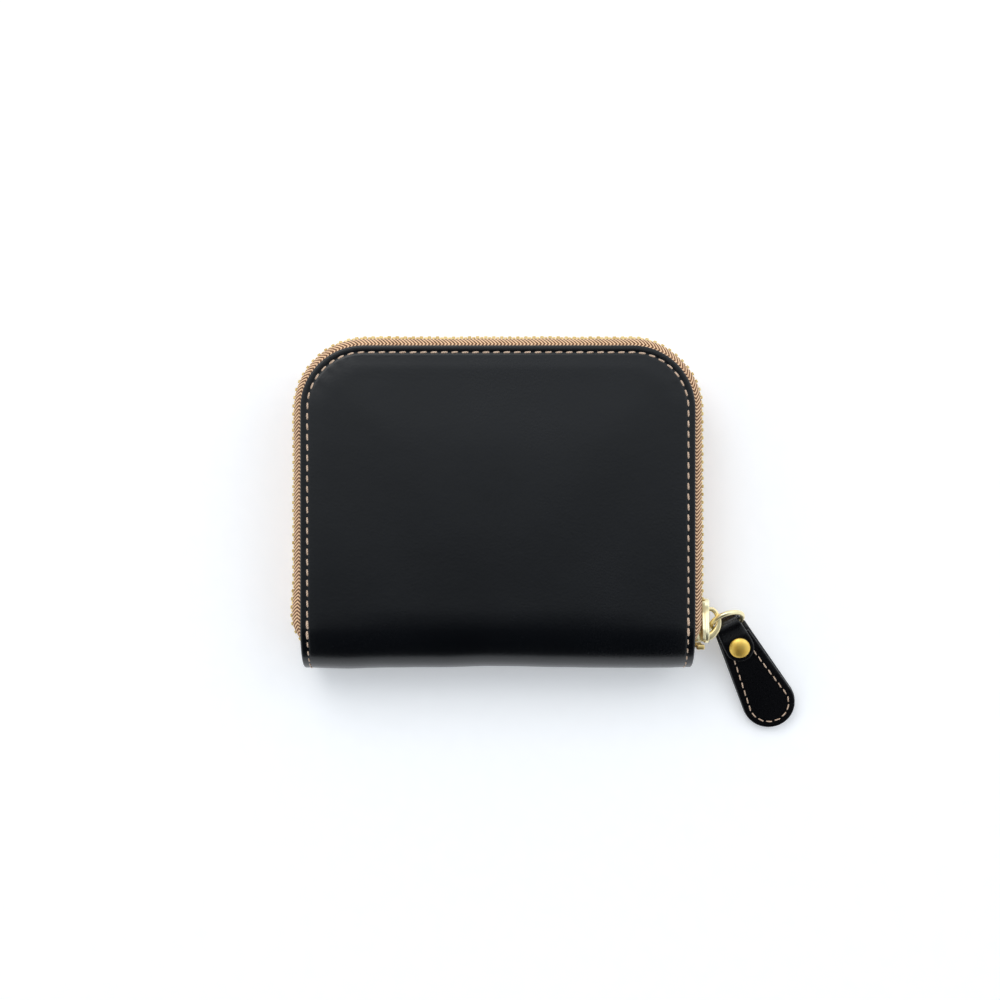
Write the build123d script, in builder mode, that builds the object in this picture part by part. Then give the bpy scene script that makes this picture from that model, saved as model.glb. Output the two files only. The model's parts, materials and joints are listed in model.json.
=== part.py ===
from build123d import *
from math import cos, degrees, radians, sin, sqrt
import os

# Small zip-round coin purse. It lies on its back cover: X runs across, Y from the fold to the top
# edge, Z up through the thickness. The origin is the centre of the back cover's resting face.

# ---- driving dimensions, mm ----
cover_width = 109.6  # leather cover, side to side
cover_depth = 90.4  # top edge to the outside of the fold
thickness = 24.0  # back leather's resting face to the front leather's outer face
corner_radius = 17.5  # the cover's two top corners

leather = 1.4  # cover leather
tape = 0.5  # woven zip tape, and the stiffener board that shares its layer
lining = 0.5
fold_gap = 0.1  # between the two halves of the fold, where it bends
fit = 0.3  # between layers that lie side by side

tape_bulge = 2.4  # middle of the tape's upright wall, outside the leather's edge
tape_lead = 1.0  # where the tape starts to curve up, inside the leather's edge
tape_margin = 8.0  # sewn margin of the tape under the leather
tape_foot_rise = 0.2  # lower end of the tape's sewn margin, above the fold's axis
tape_end_rise = 4.7  # lower end of the tape's upright wall, above the fold

lining_inset = 1.5
stitch_inset = 2.0  # seam line, inside the leather's edge
stitch_pitch = 2.88
stitch_length = 2.1
stitch_width = 0.55
stitch_height = 0.3
groove_width = 0.9
groove_depth = 0.35

tooth_pitch = 2.28  # one row of the brass chain
tooth_length = 0.98  # along the chain
tooth_thickness = 2.2  # across the tape
tooth_tip = 0.55  # reach of a tooth past the middle of the chain
tooth_slot = 1.3  # tape's edge, from the middle of the chain
tooth_top = 2.3  # end of a tooth's legs, from the middle of the chain
tooth_clear = 0.03  # between a tooth's legs and the tape
tooth_taper = 0.35  # each side of a tooth's tip
chain_end_rise = 7.6  # last tooth, above the fold

stop_length = 1.4
stop_leg = 1.7  # a clamp's reach down the tape
stop_head = 0.6

nose_rise = 7.0  # slider's nose, above the fold
slider_length = 12.4
shoulder_length = 3.2  # straight sides of the slider, from its nose
slider_wall = 0.8  # side flange
slider_plate = 1.0
slider_cap = 1.0  # the outer plate
slider_clear = 0.15  # round the chain
slider_round = 0.6
slider_slot = 0.9  # slit that the tape passes through
splay = 1.5  # each row moves out by this at the slider's nose
splay_length = 8.2  # from the nose to where the rows meet
post_clear = 0.2  # between the wedge at the nose and the teeth
splay_clear = 0.12  # between the tape's edge and the teeth, where the rows part

crown_base = 0.4
crown_room = 1.1  # free width of the arch's hole beside the ring's wire
crown_bar = 1.4
crown_width = 2.0
crown_top_gap = 2.1  # from the slider's tail
crown_low_gap = 0.2  # from the slider's nose
crown_slope = 3.4  # corner of the arch, along the slider
crown_round = 0.5

ring_radius = 4.5  # to the middle of the wire
ring_wire = 1.4
ring_tilt = 27.0  # plane leans back from upright, degrees
ring_yaw = 18.0  # plane turned from the X axis, degrees
ring_in_hole = 0.22  # wire's clearance to the crown's base
ring_rise = 5.9  # ring's centre, above the slider's nose
ring_drop = 0.8  # ring's centre below the chain

pull_leather = 1.2
pull_angle = 61.5  # long axis below the X axis, in plan, degrees
pull_roll = 9.0  # right edge raised, degrees
pull_at = 80.0  # where the fold sits on the ring, degrees below its right end
tunnel_room = 1.2  # between the wire and the inside of the fold round it
tunnel_shift = 0.55  # tunnel's axis, from the wire towards the ring's centre
fold_half = 3.0  # half width of the strap at the ring
flap_radius = 4.1  # rounded end under the rivet
rivet_x = 6.9  # from the fold's axis
neck_half = 4.75  # half width of the paddle at the rivet end
bulb_x = 26.0
bulb_radius = 7.65
bulb_sweep = 98.0  # the bulb's arc each side of the long axis, degrees
paddle_start_x = 3.4
paddle_shoulder = 2.5  # from the paddle's square end to its full width
strap_flat_x = 4.0  # from here the layers lie on each other
floor_gap = 0.1  # under the pull's lowest point
slope_step = 0.001  # radians

rivet_radius = 3.0
rivet_dome = 1.25
rivet_rim = 0.35
rivet_stem = 1.0
rivet_foot = 0.6
rivet_clear = 0.05
rivet_bevel = 0.3
pull_stitch_inset = 2.0
pull_stitch_pitch = 2.67
pull_stitch_length = 1.9
pull_seam_gap = 3.2  # from the rivet's middle to the seam's ends
pull_seam_spread = 0.35  # seam runs this much wider at its ends

gusset = 0.5
gusset_mouth_inset = 4.3  # outer folds, sewn to the linings, from the leather's side edge
gusset_valley_inset = 12.3  # inner folds
gusset_ridge_inset = 4.8  # middle fold, beside the coin pocket
gusset_flange = 2.5
gusset_low_rise = 2.2  # above the fold's axis
gusset_top_drop = 20.2  # below the top edge

pocket_leaf = 0.7
pocket_edge_inset = 7.2  # coin pocket's side seam, from the leather's side edge
pocket_seam_width = 1.1
pocket_taper = 8.5  # from the side seam to the full thickness
pocket_room = 5.2  # inside, front to back
pocket_skew = 0.2  # leaf's inner corners, inside its outer ones
pocket_low_rise = 5.2  # above the fold's axis
pocket_top_drop = 13.2  # below the top edge
base_clear = 0.1  # between the base's points and the side seams
binding = 0.3
binding_width = 3.0

slot_panel = 0.5
slot_half = 44.5  # half width of the panels, for a standard 85.6 mm card
slot_low_rise = 4.2  # above the fold's axis
slot_top_drop = 11.2  # below the top edge
slot_step = 11.0
slot_count = 3
note_top_drop = 15.2
notch_radius = 9.0

# ---- worked out from the above ----
side_x = cover_width / 2
top_y = cover_depth / 2
fold_y = -cover_depth / 2
fold_radius = thickness / 2
arc_y = fold_y + fold_radius
mid_z = thickness / 2
mid_plane = Plane.XY.offset(mid_z)

tape_low = leather
tape_high = leather + tape
inner_z = tape_high + lining  # inner face of the back lining
front_inner_z = thickness - inner_z
bend = tape_lead + tape_bulge  # radius of the tape's bend
wall_x = side_x + tape_bulge  # middle of the tape's upright wall and of the chain
tape_edge_z = mid_z - tooth_slot
tape_foot_y = arc_y + tape_foot_rise
tape_end_y = fold_y + tape_end_rise
chain_end_y = fold_y + chain_end_rise

slider_nose_y = fold_y + nose_rise
slider_tail_y = slider_nose_y + slider_length
splay_from_y = slider_nose_y + splay_length
crown_reach = crown_base + ring_wire + crown_room + crown_bar  # arch, out from the outer plate
crown_top_y = slider_tail_y - crown_top_gap
crown_low_y = slider_nose_y + crown_low_gap
ring_y = slider_nose_y + ring_rise

gusset_mouth_x = side_x - gusset_mouth_inset
gusset_valley_x = side_x - gusset_valley_inset
gusset_ridge_x = side_x - gusset_ridge_inset
gusset_low_y = arc_y + gusset_low_rise
gusset_top_y = top_y - gusset_top_drop
pocket_edge_x = side_x - pocket_edge_inset
pocket_seam_x = pocket_edge_x - pocket_seam_width
pocket_half = pocket_seam_x - pocket_taper
pocket_low_y = arc_y + pocket_low_rise
pocket_top_y = top_y - pocket_top_drop
slot_low_y = arc_y + slot_low_rise
slot_top_y = top_y - slot_top_drop
note_top_y = top_y - note_top_drop


def cover_outline(inset, low_y):
    """Face of the cover's outline, set in by inset and cut straight at low_y."""
    side = side_x - inset
    top = top_y - inset
    with BuildLine(mode=Mode.PRIVATE) as outline:
        FilletPolyline((-side, low_y), (-side, top), (side, top), (side, low_y), radius=corner_radius - inset)
        Line((side, low_y), (-side, low_y))
    make_face(outline.edges())


def edge_path(out, end_y):
    """Line round the left, top and right edges of the cover, set outward by out."""
    side = side_x + out
    top = top_y + out
    with BuildLine(mode=Mode.PRIVATE) as line:
        FilletPolyline((-side, end_y), (-side, top), (side, top), (side, end_y), radius=corner_radius + out)
    return line.wire()


def quarter_ring(outer, inner):
    """Lower half of the fold's section, between two radii round the fold's axis."""
    with Locations((arc_y, mid_z)):
        Circle(outer)
        Circle(inner, mode=Mode.SUBTRACT)
    with Locations((arc_y, mid_z - fold_gap / 2)):
        Rectangle(2 * outer, 2 * outer, align=(Align.MAX, Align.MAX), mode=Mode.INTERSECT)


def spots_along(path, pitch, z, shift=0.0):
    """Locations along path, a pitch apart and centred on its length; x runs along it, y outward."""
    count = int((path.length - abs(shift)) // pitch)
    start = (path.length - (count - 1) * pitch) / 2 + shift
    spots = []
    for index in range(count):
        distance = start + index * pitch
        point = path.position_at(distance, position_mode=PositionMode.LENGTH)
        ahead = path.tangent_at(distance, position_mode=PositionMode.LENGTH)
        spots.append(Location(Plane(origin=(point.X, point.Y, z), x_dir=ahead, z_dir=(0, 0, 1))))
    return spots


def splay_at(x, y):
    """How far a row has moved out from the middle of the chain, inside the slider."""
    if x < 0 or y > splay_from_y:
        return 0.0
    return splay * min(1.0, (splay_from_y - y) / (splay_from_y - slider_nose_y))


# ---- covers: one leather skin on the real purse, in two halves that meet at the fold ----
with BuildPart() as back_cover:
    with BuildSketch(Plane.XY):
        cover_outline(0, arc_y)
    extrude(amount=leather)
    with BuildSketch(Plane.YZ.offset(-side_x)):
        quarter_ring(fold_radius, fold_radius - leather)
    extrude(amount=cover_width)
    with BuildSketch(Plane.XY):
        trace(edge_path(-stitch_inset, arc_y), line_width=groove_width)
    extrude(amount=groove_depth, mode=Mode.SUBTRACT)
back_cover.part.label = "back_cover"

with BuildPart() as front_cover:
    mirror(back_cover.part, about=mid_plane)
front_cover.part.label = "front_cover"

# ---- beige seam: separate stitches that lie in the cover's groove ----
seam_path = edge_path(-stitch_inset, arc_y)
with BuildPart() as back_cover_stitching:
    with Locations(*spots_along(seam_path, stitch_pitch, groove_depth)):
        Box(stitch_length, stitch_width, stitch_height, align=(Align.CENTER, Align.CENTER, Align.MAX))
back_cover_stitching.part.label = "back_cover_stitching"

with BuildPart() as front_cover_stitching:
    mirror(back_cover_stitching.part, about=mid_plane)
front_cover_stitching.part.label = "front_cover_stitching"

# ---- stiffener boards, in the tape's layer, inside its margin ----
with BuildPart() as back_board:
    with BuildSketch(Plane.XY.offset(tape_low)):
        cover_outline(tape_margin + fit, arc_y)
    extrude(amount=tape)
back_board.part.label = "back_board"

with BuildPart() as front_board:
    mirror(back_board.part, about=mid_plane)
front_board.part.label = "front_board"

# ---- linings, which run round the inside of the fold to its middle ----
with BuildPart() as back_lining:
    with BuildSketch(Plane.XY.offset(tape_high)):
        cover_outline(lining_inset, arc_y)
    extrude(amount=lining)
    with BuildSketch(Plane.YZ.offset(-side_x + lining_inset)):
        quarter_ring(fold_radius - tape_high, fold_radius - inner_z)
    extrude(amount=cover_width - 2 * lining_inset)
back_lining.part.label = "back_lining"

with BuildPart() as front_lining:
    mirror(back_lining.part, about=mid_plane)
front_lining.part.label = "front_lining"


# ---- zip tapes: sewn margin, bend and upright wall up to the teeth ----
def tape_section():
    """Section of the back tape: x outward from the leather's edge, y up."""
    low = tape_low
    high = tape_high
    centre = (-tape_lead, (low + high) / 2 + bend)
    inner = tape_bulge - tape / 2
    outer = tape_bulge + tape / 2
    with BuildLine(mode=Mode.PRIVATE) as outline:
        Line((-tape_margin, low), (-tape_lead, low))
        CenterArc(centre, bend + tape / 2, -90, 90)
        Line((outer, centre[1]), (outer, tape_edge_z))
        Line((outer, tape_edge_z), (inner, tape_edge_z))
        Line((inner, tape_edge_z), (inner, centre[1]))
        CenterArc(centre, bend - tape / 2, -90, 90)
        Line((-tape_lead, high), (-tape_margin, high))
        Line((-tape_margin, high), (-tape_margin, low))
    make_face(outline.edges())


tape_start = Plane(origin=(-side_x, tape_foot_y, 0), x_dir=(-1, 0, 0), z_dir=(0, 1, 0))
wall_foot_z = (tape_low + tape_high) / 2 + bend
with BuildPart() as back_zip_tape:
    with BuildSketch(tape_start):
        tape_section()
    sweep(path=edge_path(0, tape_foot_y))
    for wall in (-wall_x, wall_x):
        with BuildSketch(Plane.YZ.offset(wall - tape / 2)):
            Polygon(
                (tape_foot_y, wall_foot_z),
                (tape_foot_y, tape_edge_z),
                (tape_end_y, tape_edge_z),
                (tape_end_y, wall_foot_z + 1),
                align=None,
            )
        extrude(amount=tape)
    with BuildSketch(Plane.YZ.offset(side_x)):
        Polygon(
            (splay_from_y + 1, tape_edge_z),
            (splay_from_y, tape_edge_z - splay_clear),
            (slider_nose_y, tape_edge_z - splay - splay_clear),
            (tape_end_y - 1, tape_edge_z - splay - splay_clear),
            (tape_end_y - 1, mid_z),
            (splay_from_y + 1, mid_z),
            align=None,
        )
    extrude(amount=2 * tape_bulge, mode=Mode.SUBTRACT)
back_zip_tape.part.label = "back_zip_tape"

with BuildPart() as front_zip_tape:
    mirror(back_zip_tape.part, about=mid_plane)
front_zip_tape.part.label = "front_zip_tape"

# ---- brass teeth: the front row, and the back row half a pitch along ----
with BuildPart(mode=Mode.PRIVATE) as tooth:
    with BuildSketch(Plane.YZ.offset(-tooth_length / 2)):
        half = tooth_thickness / 2
        slot = tape / 2 + tooth_clear
        Polygon(
            (-half + tooth_taper, -tooth_tip),
            (half - tooth_taper, -tooth_tip),
            (half, 0),
            (half, tooth_top),
            (slot, tooth_top),
            (slot, tooth_slot),
            (-slot, tooth_slot),
            (-slot, tooth_top),
            (-half, tooth_top),
            (-half, 0),
            align=None,
        )
    extrude(amount=tooth_length)

chain_path = edge_path(tape_bulge, chain_end_y)


def tooth_spots(shift):
    """Places of one row's teeth, with the splay inside the slider."""
    spots = []
    for spot in spots_along(chain_path, tooth_pitch, mid_z, shift):
        place = spot.position
        spots.append(Location((0, 0, splay_at(place.X, place.Y))) * spot)
    return spots


with BuildPart() as front_zip_teeth:
    with Locations(*tooth_spots(-tooth_pitch / 4)):
        add(tooth.part)
front_zip_teeth.part.label = "front_zip_teeth"

with BuildPart(mode=Mode.PRIVATE) as back_row:
    with Locations(*tooth_spots(tooth_pitch / 4)):
        add(tooth.part)
with BuildPart() as back_zip_teeth:
    mirror(back_row.part, about=mid_plane)
back_zip_teeth.part.label = "back_zip_teeth"

# ---- stops: one block joins the rows at the start, one clamp on each tape ends the slider's run ----
stop_y = chain_end_y - tooth_length
with BuildPart() as zip_start_stop:
    with BuildSketch(Plane.XZ.offset(-stop_y)):
        with Locations((-wall_x, mid_z)):
            Rectangle(tooth_thickness, 2 * tooth_slot - 2 * tooth_clear)
    extrude(amount=stop_length)
zip_start_stop.part.label = "zip_start_stop"

end_stop_y = slider_nose_y - fit
with BuildPart() as back_end_stop:
    with BuildSketch(Plane.XZ.offset(-end_stop_y)):
        with Locations((wall_x, tape_edge_z - splay + tooth_clear)):
            Rectangle(tooth_thickness, stop_leg, align=(Align.CENTER, Align.MAX))
            Rectangle(tape + 2 * tooth_clear, stop_leg, align=(Align.CENTER, Align.MAX), mode=Mode.SUBTRACT)
        with Locations((wall_x, tape_edge_z - splay + tooth_clear)):
            Rectangle(tooth_thickness, stop_head, align=(Align.CENTER, Align.MIN))
    extrude(amount=stop_length)
back_end_stop.part.label = "back_end_stop"

with BuildPart() as front_end_stop:
    mirror(back_end_stop.part, about=mid_plane)
front_end_stop.part.label = "front_end_stop"

# ---- slider: two plates, side flanges with a slit for each tape, and the wedge at the nose ----
channel_x = tooth_thickness / 2 + slider_clear
tail_half = tooth_top + slider_clear
nose_half = tooth_top + splay + slider_clear
plate_in_x = wall_x - channel_x
plate_out_x = wall_x + channel_x
cap_x = plate_out_x + slider_cap
post_half = splay - tooth_tip - post_clear
post_tip_y = slider_nose_y + (splay_from_y - slider_nose_y) * post_half / splay


def shield(wall):
    """Slider's outline in Y and Z, with its channel widened by wall."""
    tail = tail_half + wall
    nose = nose_half + wall
    shoulder_y = slider_nose_y + shoulder_length
    with BuildLine(mode=Mode.PRIVATE) as outline:
        Polyline(
            (slider_tail_y, mid_z - tail),
            (slider_tail_y, mid_z + tail),
            (splay_from_y, mid_z + tail),
            (shoulder_y, mid_z + nose),
            (slider_nose_y, mid_z + nose),
            (slider_nose_y, mid_z - nose),
            (shoulder_y, mid_z - nose),
            (splay_from_y, mid_z - tail),
            (slider_tail_y, mid_z - tail),
        )
    make_face(outline.edges())


with BuildPart() as slider_body:
    with BuildSketch(Plane.YZ.offset(plate_in_x - slider_plate)):
        shield(slider_wall)
    extrude(amount=slider_plate + 2 * channel_x + slider_cap)
    fillet(slider_body.edges().filter_by(Axis.X).group_by(Axis.Y)[0], radius=slider_round)
    fillet(slider_body.edges().filter_by(Axis.X).group_by(Axis.Y)[-1], radius=slider_round)
    with BuildSketch(Plane.YZ.offset(plate_in_x)):
        shield(0)
    extrude(amount=2 * channel_x, mode=Mode.SUBTRACT)
    with BuildSketch(Plane.YZ.offset(wall_x - slider_slot / 2)):
        with Locations((slider_nose_y, mid_z)):
            Rectangle(4 * slider_length, thickness)
    extrude(amount=slider_slot, mode=Mode.SUBTRACT)
    with BuildSketch(Plane.YZ.offset(plate_in_x)):
        Polygon(
            (slider_nose_y, mid_z - post_half),
            (slider_nose_y, mid_z + post_half),
            (post_tip_y, mid_z),
            align=None,
        )
    extrude(amount=2 * channel_x)
slider_body.part.label = "slider_body"

with BuildPart() as slider_crown:
    with BuildSketch(Plane.XY.offset(mid_z - crown_width / 2)):
        with BuildLine():
            Polyline(
                (cap_x, crown_low_y),
                (cap_x, crown_top_y),
                (cap_x + crown_reach * 0.55, crown_top_y),
                (cap_x + crown_reach, crown_top_y - crown_slope),
                (cap_x + crown_reach, crown_low_y + crown_slope),
                (cap_x + crown_reach * 0.45, crown_low_y),
                (cap_x, crown_low_y),
            )
        make_face()
        with BuildLine():
            Polyline(
                (cap_x + crown_base, crown_low_y + crown_bar + 1),
                (cap_x + crown_base, crown_top_y - crown_bar - 0.2),
                (cap_x + crown_reach * 0.4, crown_top_y - crown_bar - 0.2),
                (cap_x + crown_reach - crown_bar, crown_top_y - crown_slope - 0.2),
                (cap_x + crown_reach - crown_bar, crown_low_y + crown_slope + 0.4),
                (cap_x + crown_base, crown_low_y + crown_bar + 1),
            )
        make_face(mode=Mode.SUBTRACT)
    extrude(amount=crown_width)
    bar_x = cap_x + crown_reach
    bar_edges = slider_crown.edges().filter_by(Axis.Y)
    fillet(
        [edge for edge in bar_edges if edge.center().X > bar_x - crown_bar - 0.01],
        radius=crown_round,
    )
slider_crown.part.label = "slider_crown"

# ---- jump ring through the crown, leaning back ----
lean = radians(ring_tilt)
turn = radians(ring_yaw)
ring_right = Vector(cos(turn), sin(turn), 0)
ring_up = Vector(-sin(turn) * sin(lean), cos(turn) * sin(lean), cos(lean))
ring_left_x = cap_x + crown_base + ring_in_hole + ring_wire / 2
ring_centre = Vector(ring_left_x + ring_radius * cos(turn), ring_y, mid_z - ring_drop)
ring_plane = Plane(origin=ring_centre, x_dir=ring_right, z_dir=ring_right.cross(ring_up))
with BuildPart(ring_plane) as jump_ring:
    Torus(ring_radius, ring_wire / 2)
jump_ring.part.label = "jump_ring"

# ---- pull: its frame sits on the fold's axis, x down the pull, z out of its upper face ----
drop_turn = radians(pull_at)
to_fold = ring_right * cos(drop_turn) - ring_up * sin(drop_turn)
fold_point = ring_centre + to_fold * (ring_radius - tunnel_shift)
roll = radians(pull_roll)
half_stack = 1.5 * pull_leather
tunnel_radius = ring_wire / 2 + tunnel_room


def lowest_point(slope):
    """Height of the bulb's lowest point when the pull slopes down by this many radians."""
    flatness = cos(slope) * cos(roll)
    bulb_drop = bulb_radius * sqrt(1 - flatness**2) + half_stack * flatness
    return fold_point.Z - bulb_x * sin(slope) - bulb_drop


pull_slope = 0.0
while lowest_point(pull_slope) > floor_gap:
    pull_slope += slope_step
heading = radians(pull_angle)
along = Vector(cos(heading) * cos(pull_slope), -sin(heading) * cos(pull_slope), -sin(pull_slope))
level = Vector(sin(heading), cos(heading), 0)
upward = along.cross(level)
across = level * cos(roll) + upward * sin(roll)
pull_face = Plane(origin=fold_point, x_dir=along, z_dir=along.cross(across))
pull_side = Plane(origin=fold_point, x_dir=along, z_dir=across * -1)
tunnel_outer = tunnel_radius + pull_leather
end_x = bulb_x + bulb_radius


def pull_layer(low):
    """Plane parallel to the pull's face, low above the fold's axis."""
    return Plane(origin=fold_point + pull_face.z_dir * low, x_dir=along, z_dir=pull_face.z_dir)


def paddle_outline(start_x, start_half):
    """Teardrop outline, from a straight end at start_x to the round bulb."""
    with BuildLine(mode=Mode.PRIVATE) as outline:
        bulb = CenterArc((bulb_x, 0), bulb_radius, -bulb_sweep, 2 * bulb_sweep)
        Polyline(
            bulb @ 1,
            (start_x + paddle_shoulder, neck_half),
            (start_x, start_half),
            (start_x, -start_half),
            (start_x + paddle_shoulder, -neck_half),
            bulb @ 0,
        )
    make_face(outline.edges())


with BuildPart(mode=Mode.PRIVATE) as strap_loop:
    with BuildSketch(pull_side):
        Circle(tunnel_outer)
        Circle(tunnel_radius, mode=Mode.SUBTRACT)
        Rectangle(2 * tunnel_outer, 4 * tunnel_outer, align=(Align.MIN, Align.CENTER), mode=Mode.SUBTRACT)
        Polygon(
            (0, tunnel_radius),
            (0, tunnel_outer),
            (strap_flat_x, half_stack),
            (rivet_x + flap_radius, half_stack),
            (rivet_x + flap_radius, half_stack - pull_leather),
            (strap_flat_x, half_stack - pull_leather),
            align=None,
        )
    extrude(amount=bulb_radius, both=True)
    with BuildSketch(pull_face):
        with BuildLine():
            flap = CenterArc((rivet_x, 0), flap_radius, -90, 180)
            Polyline(
                flap @ 1,
                (strap_flat_x, flap_radius),
                (strap_flat_x / 4, fold_half),
                (-tunnel_outer, fold_half),
                (-tunnel_outer, -fold_half),
                (strap_flat_x / 4, -fold_half),
                (strap_flat_x, -flap_radius),
                flap @ 0,
            )
        make_face()
    extrude(amount=2 * tunnel_outer, both=True, mode=Mode.INTERSECT)

with BuildPart() as pull_strap:
    with BuildSketch(pull_side):
        Polygon(
            (0, -tunnel_radius),
            (0, -tunnel_outer),
            (strap_flat_x, -half_stack),
            (end_x + 1, -half_stack),
            (end_x + 1, pull_leather - half_stack),
            (strap_flat_x, pull_leather - half_stack),
            align=None,
        )
    extrude(amount=bulb_radius + 1, both=True)
    with BuildSketch(pull_face):
        paddle_outline(0, fold_half)
    extrude(amount=2 * tunnel_outer, both=True, mode=Mode.INTERSECT)
    add(strap_loop.part)
    with BuildSketch(pull_face):
        with Locations((rivet_x, 0)):
            Circle(rivet_stem + rivet_clear)
    extrude(amount=2 * tunnel_outer, both=True, mode=Mode.SUBTRACT)
pull_strap.part.label = "pull_strap"

with BuildPart() as pull_front_leather:
    with BuildSketch(pull_layer(-pull_leather / 2)):
        paddle_outline(paddle_start_x, neck_half)
        with Locations((rivet_x, 0)):
            Circle(rivet_stem + rivet_clear, mode=Mode.SUBTRACT)
    extrude(amount=pull_leather)
pull_front_leather.part.label = "pull_front_leather"

# ---- rivet: domed cap on the flap, foot and stem from below ----
rivet_point = pull_face.from_local_coords(Vector(rivet_x, 0, half_stack))
rivet_line = Axis(rivet_point, pull_face.z_dir)
on_base = (Align.CENTER, Align.CENTER, Align.MIN)
with BuildPart(Plane(origin=rivet_point, x_dir=along, z_dir=pull_face.z_dir)) as rivet_cap:
    Cylinder(rivet_radius, rivet_dome, align=on_base)
    fillet(rivet_cap.edges().sort_by(rivet_line)[-1], radius=rivet_dome - rivet_rim)
    Cylinder(rivet_stem + rivet_clear, rivet_rim, align=on_base, mode=Mode.SUBTRACT)
rivet_cap.part.label = "rivet_cap"

with BuildPart() as rivet_post:
    with BuildSketch(pull_layer(-half_stack - rivet_foot)):
        with Locations((rivet_x, 0)):
            Circle(rivet_radius)
    extrude(amount=rivet_foot)
    with BuildSketch(pull_layer(-half_stack)):
        with Locations((rivet_x, 0)):
            Circle(rivet_stem)
    extrude(amount=2 * half_stack + rivet_rim - rivet_clear)
    foot_rim = rivet_post.edges().filter_by(GeomType.CIRCLE).sort_by(rivet_line)[0]
    chamfer(foot_rim, rivet_bevel)
rivet_post.part.label = "rivet_post"

# ---- pull's U-shaped seam: stitches on the paddle's upper face ----
seam_start_x = rivet_x + pull_seam_gap
seam_neck = neck_half - pull_stitch_inset + pull_seam_spread
with BuildLine(mode=Mode.PRIVATE) as pull_seam:
    seam_bulb = CenterArc((bulb_x, 0), bulb_radius - pull_stitch_inset, -bulb_sweep, 2 * bulb_sweep)
    Line(seam_bulb @ 1, (seam_start_x, seam_neck))
    Line((seam_start_x, -seam_neck), seam_bulb @ 0)
pull_seam_wire = Wire(pull_seam.edges())
pull_seam_count = int(pull_seam_wire.length // pull_stitch_pitch)
with BuildPart() as pull_stitching:
    for index in range(pull_seam_count):
        distance = (index + 0.5) * pull_seam_wire.length / pull_seam_count
        point = pull_seam_wire.position_at(distance, position_mode=PositionMode.LENGTH)
        ahead = pull_seam_wire.tangent_at(distance, position_mode=PositionMode.LENGTH)
        stitch_plane = Plane(
            origin=pull_face.from_local_coords(Vector(point.X, point.Y, pull_leather / 2)),
            x_dir=along * ahead.X + across * ahead.Y,
            z_dir=pull_face.z_dir,
        )
        with BuildSketch(stitch_plane):
            Rectangle(pull_stitch_length, stitch_width)
        extrude(amount=stitch_height)
pull_stitching.part.label = "pull_stitching"


# ---- W-folded gussets, sewn to both linings, which let the purse open like a book ----
def gusset_part(side):
    """One gusset; side is -1 for the left and 1 for the right."""
    low = inner_z + gusset / 2
    rise = (mid_z - low) / 2
    with BuildPart() as folded:
        with BuildSketch(Plane.XZ.offset(-gusset_low_y)):
            with BuildLine() as zigzag:
                Polyline(
                    (side * (gusset_mouth_x + gusset_flange), low),
                    (side * gusset_mouth_x, low),
                    (side * gusset_valley_x, low + rise),
                    (side * gusset_ridge_x, mid_z),
                    (side * gusset_valley_x, 2 * mid_z - low - rise),
                    (side * gusset_mouth_x, 2 * mid_z - low),
                    (side * (gusset_mouth_x + gusset_flange), 2 * mid_z - low),
                )
            trace(zigzag.wire(), line_width=gusset)
        extrude(amount=-(gusset_top_y - gusset_low_y))
    return folded.part


left_gusset = gusset_part(-1)
left_gusset.label = "left_gusset"
right_gusset = gusset_part(1)
right_gusset.label = "right_gusset"

# ---- centre coin pocket: two leaves that meet in side seams, a base, and bound mouths ----
leaf_in_z = mid_z + pocket_room / 2
leaf_out_z = leaf_in_z + pocket_leaf
base_x = pocket_seam_x - pocket_skew - base_clear
with BuildPart() as coin_pocket_front:
    with BuildSketch(Plane.XZ.offset(-pocket_low_y)):
        Polygon(
            (-pocket_edge_x, mid_z),
            (-pocket_edge_x, mid_z + pocket_leaf),
            (-pocket_seam_x, mid_z + pocket_leaf),
            (-pocket_half, leaf_out_z),
            (pocket_half, leaf_out_z),
            (pocket_seam_x, mid_z + pocket_leaf),
            (pocket_edge_x, mid_z + pocket_leaf),
            (pocket_edge_x, mid_z),
            (pocket_seam_x - pocket_skew, mid_z),
            (pocket_half - pocket_skew, leaf_in_z),
            (-pocket_half + pocket_skew, leaf_in_z),
            (-pocket_seam_x + pocket_skew, mid_z),
            align=None,
        )
    extrude(amount=-(pocket_top_y - pocket_low_y))
coin_pocket_front.part.label = "coin_pocket_front"

with BuildPart() as coin_pocket_back:
    mirror(coin_pocket_front.part, about=mid_plane)
coin_pocket_back.part.label = "coin_pocket_back"

with BuildPart() as coin_pocket_base:
    with BuildSketch(Plane.XZ.offset(-pocket_low_y)):
        Polygon(
            (-base_x, mid_z),
            (-pocket_half + pocket_skew, leaf_in_z),
            (pocket_half - pocket_skew, leaf_in_z),
            (base_x, mid_z),
            (pocket_half - pocket_skew, 2 * mid_z - leaf_in_z),
            (-pocket_half + pocket_skew, 2 * mid_z - leaf_in_z),
            align=None,
        )
    extrude(amount=-pocket_leaf)
coin_pocket_base.part.label = "coin_pocket_base"

with BuildPart() as coin_pocket_binding:
    for low in (leaf_out_z, 2 * mid_z - leaf_out_z - binding):
        with BuildSketch(Plane.XY.offset(low)):
            with Locations((0, pocket_top_y)):
                Rectangle(2 * pocket_half, binding_width, align=(Align.CENTER, Align.MAX))
        extrude(amount=binding)
coin_pocket_binding.part.label = "coin_pocket_binding"

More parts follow.
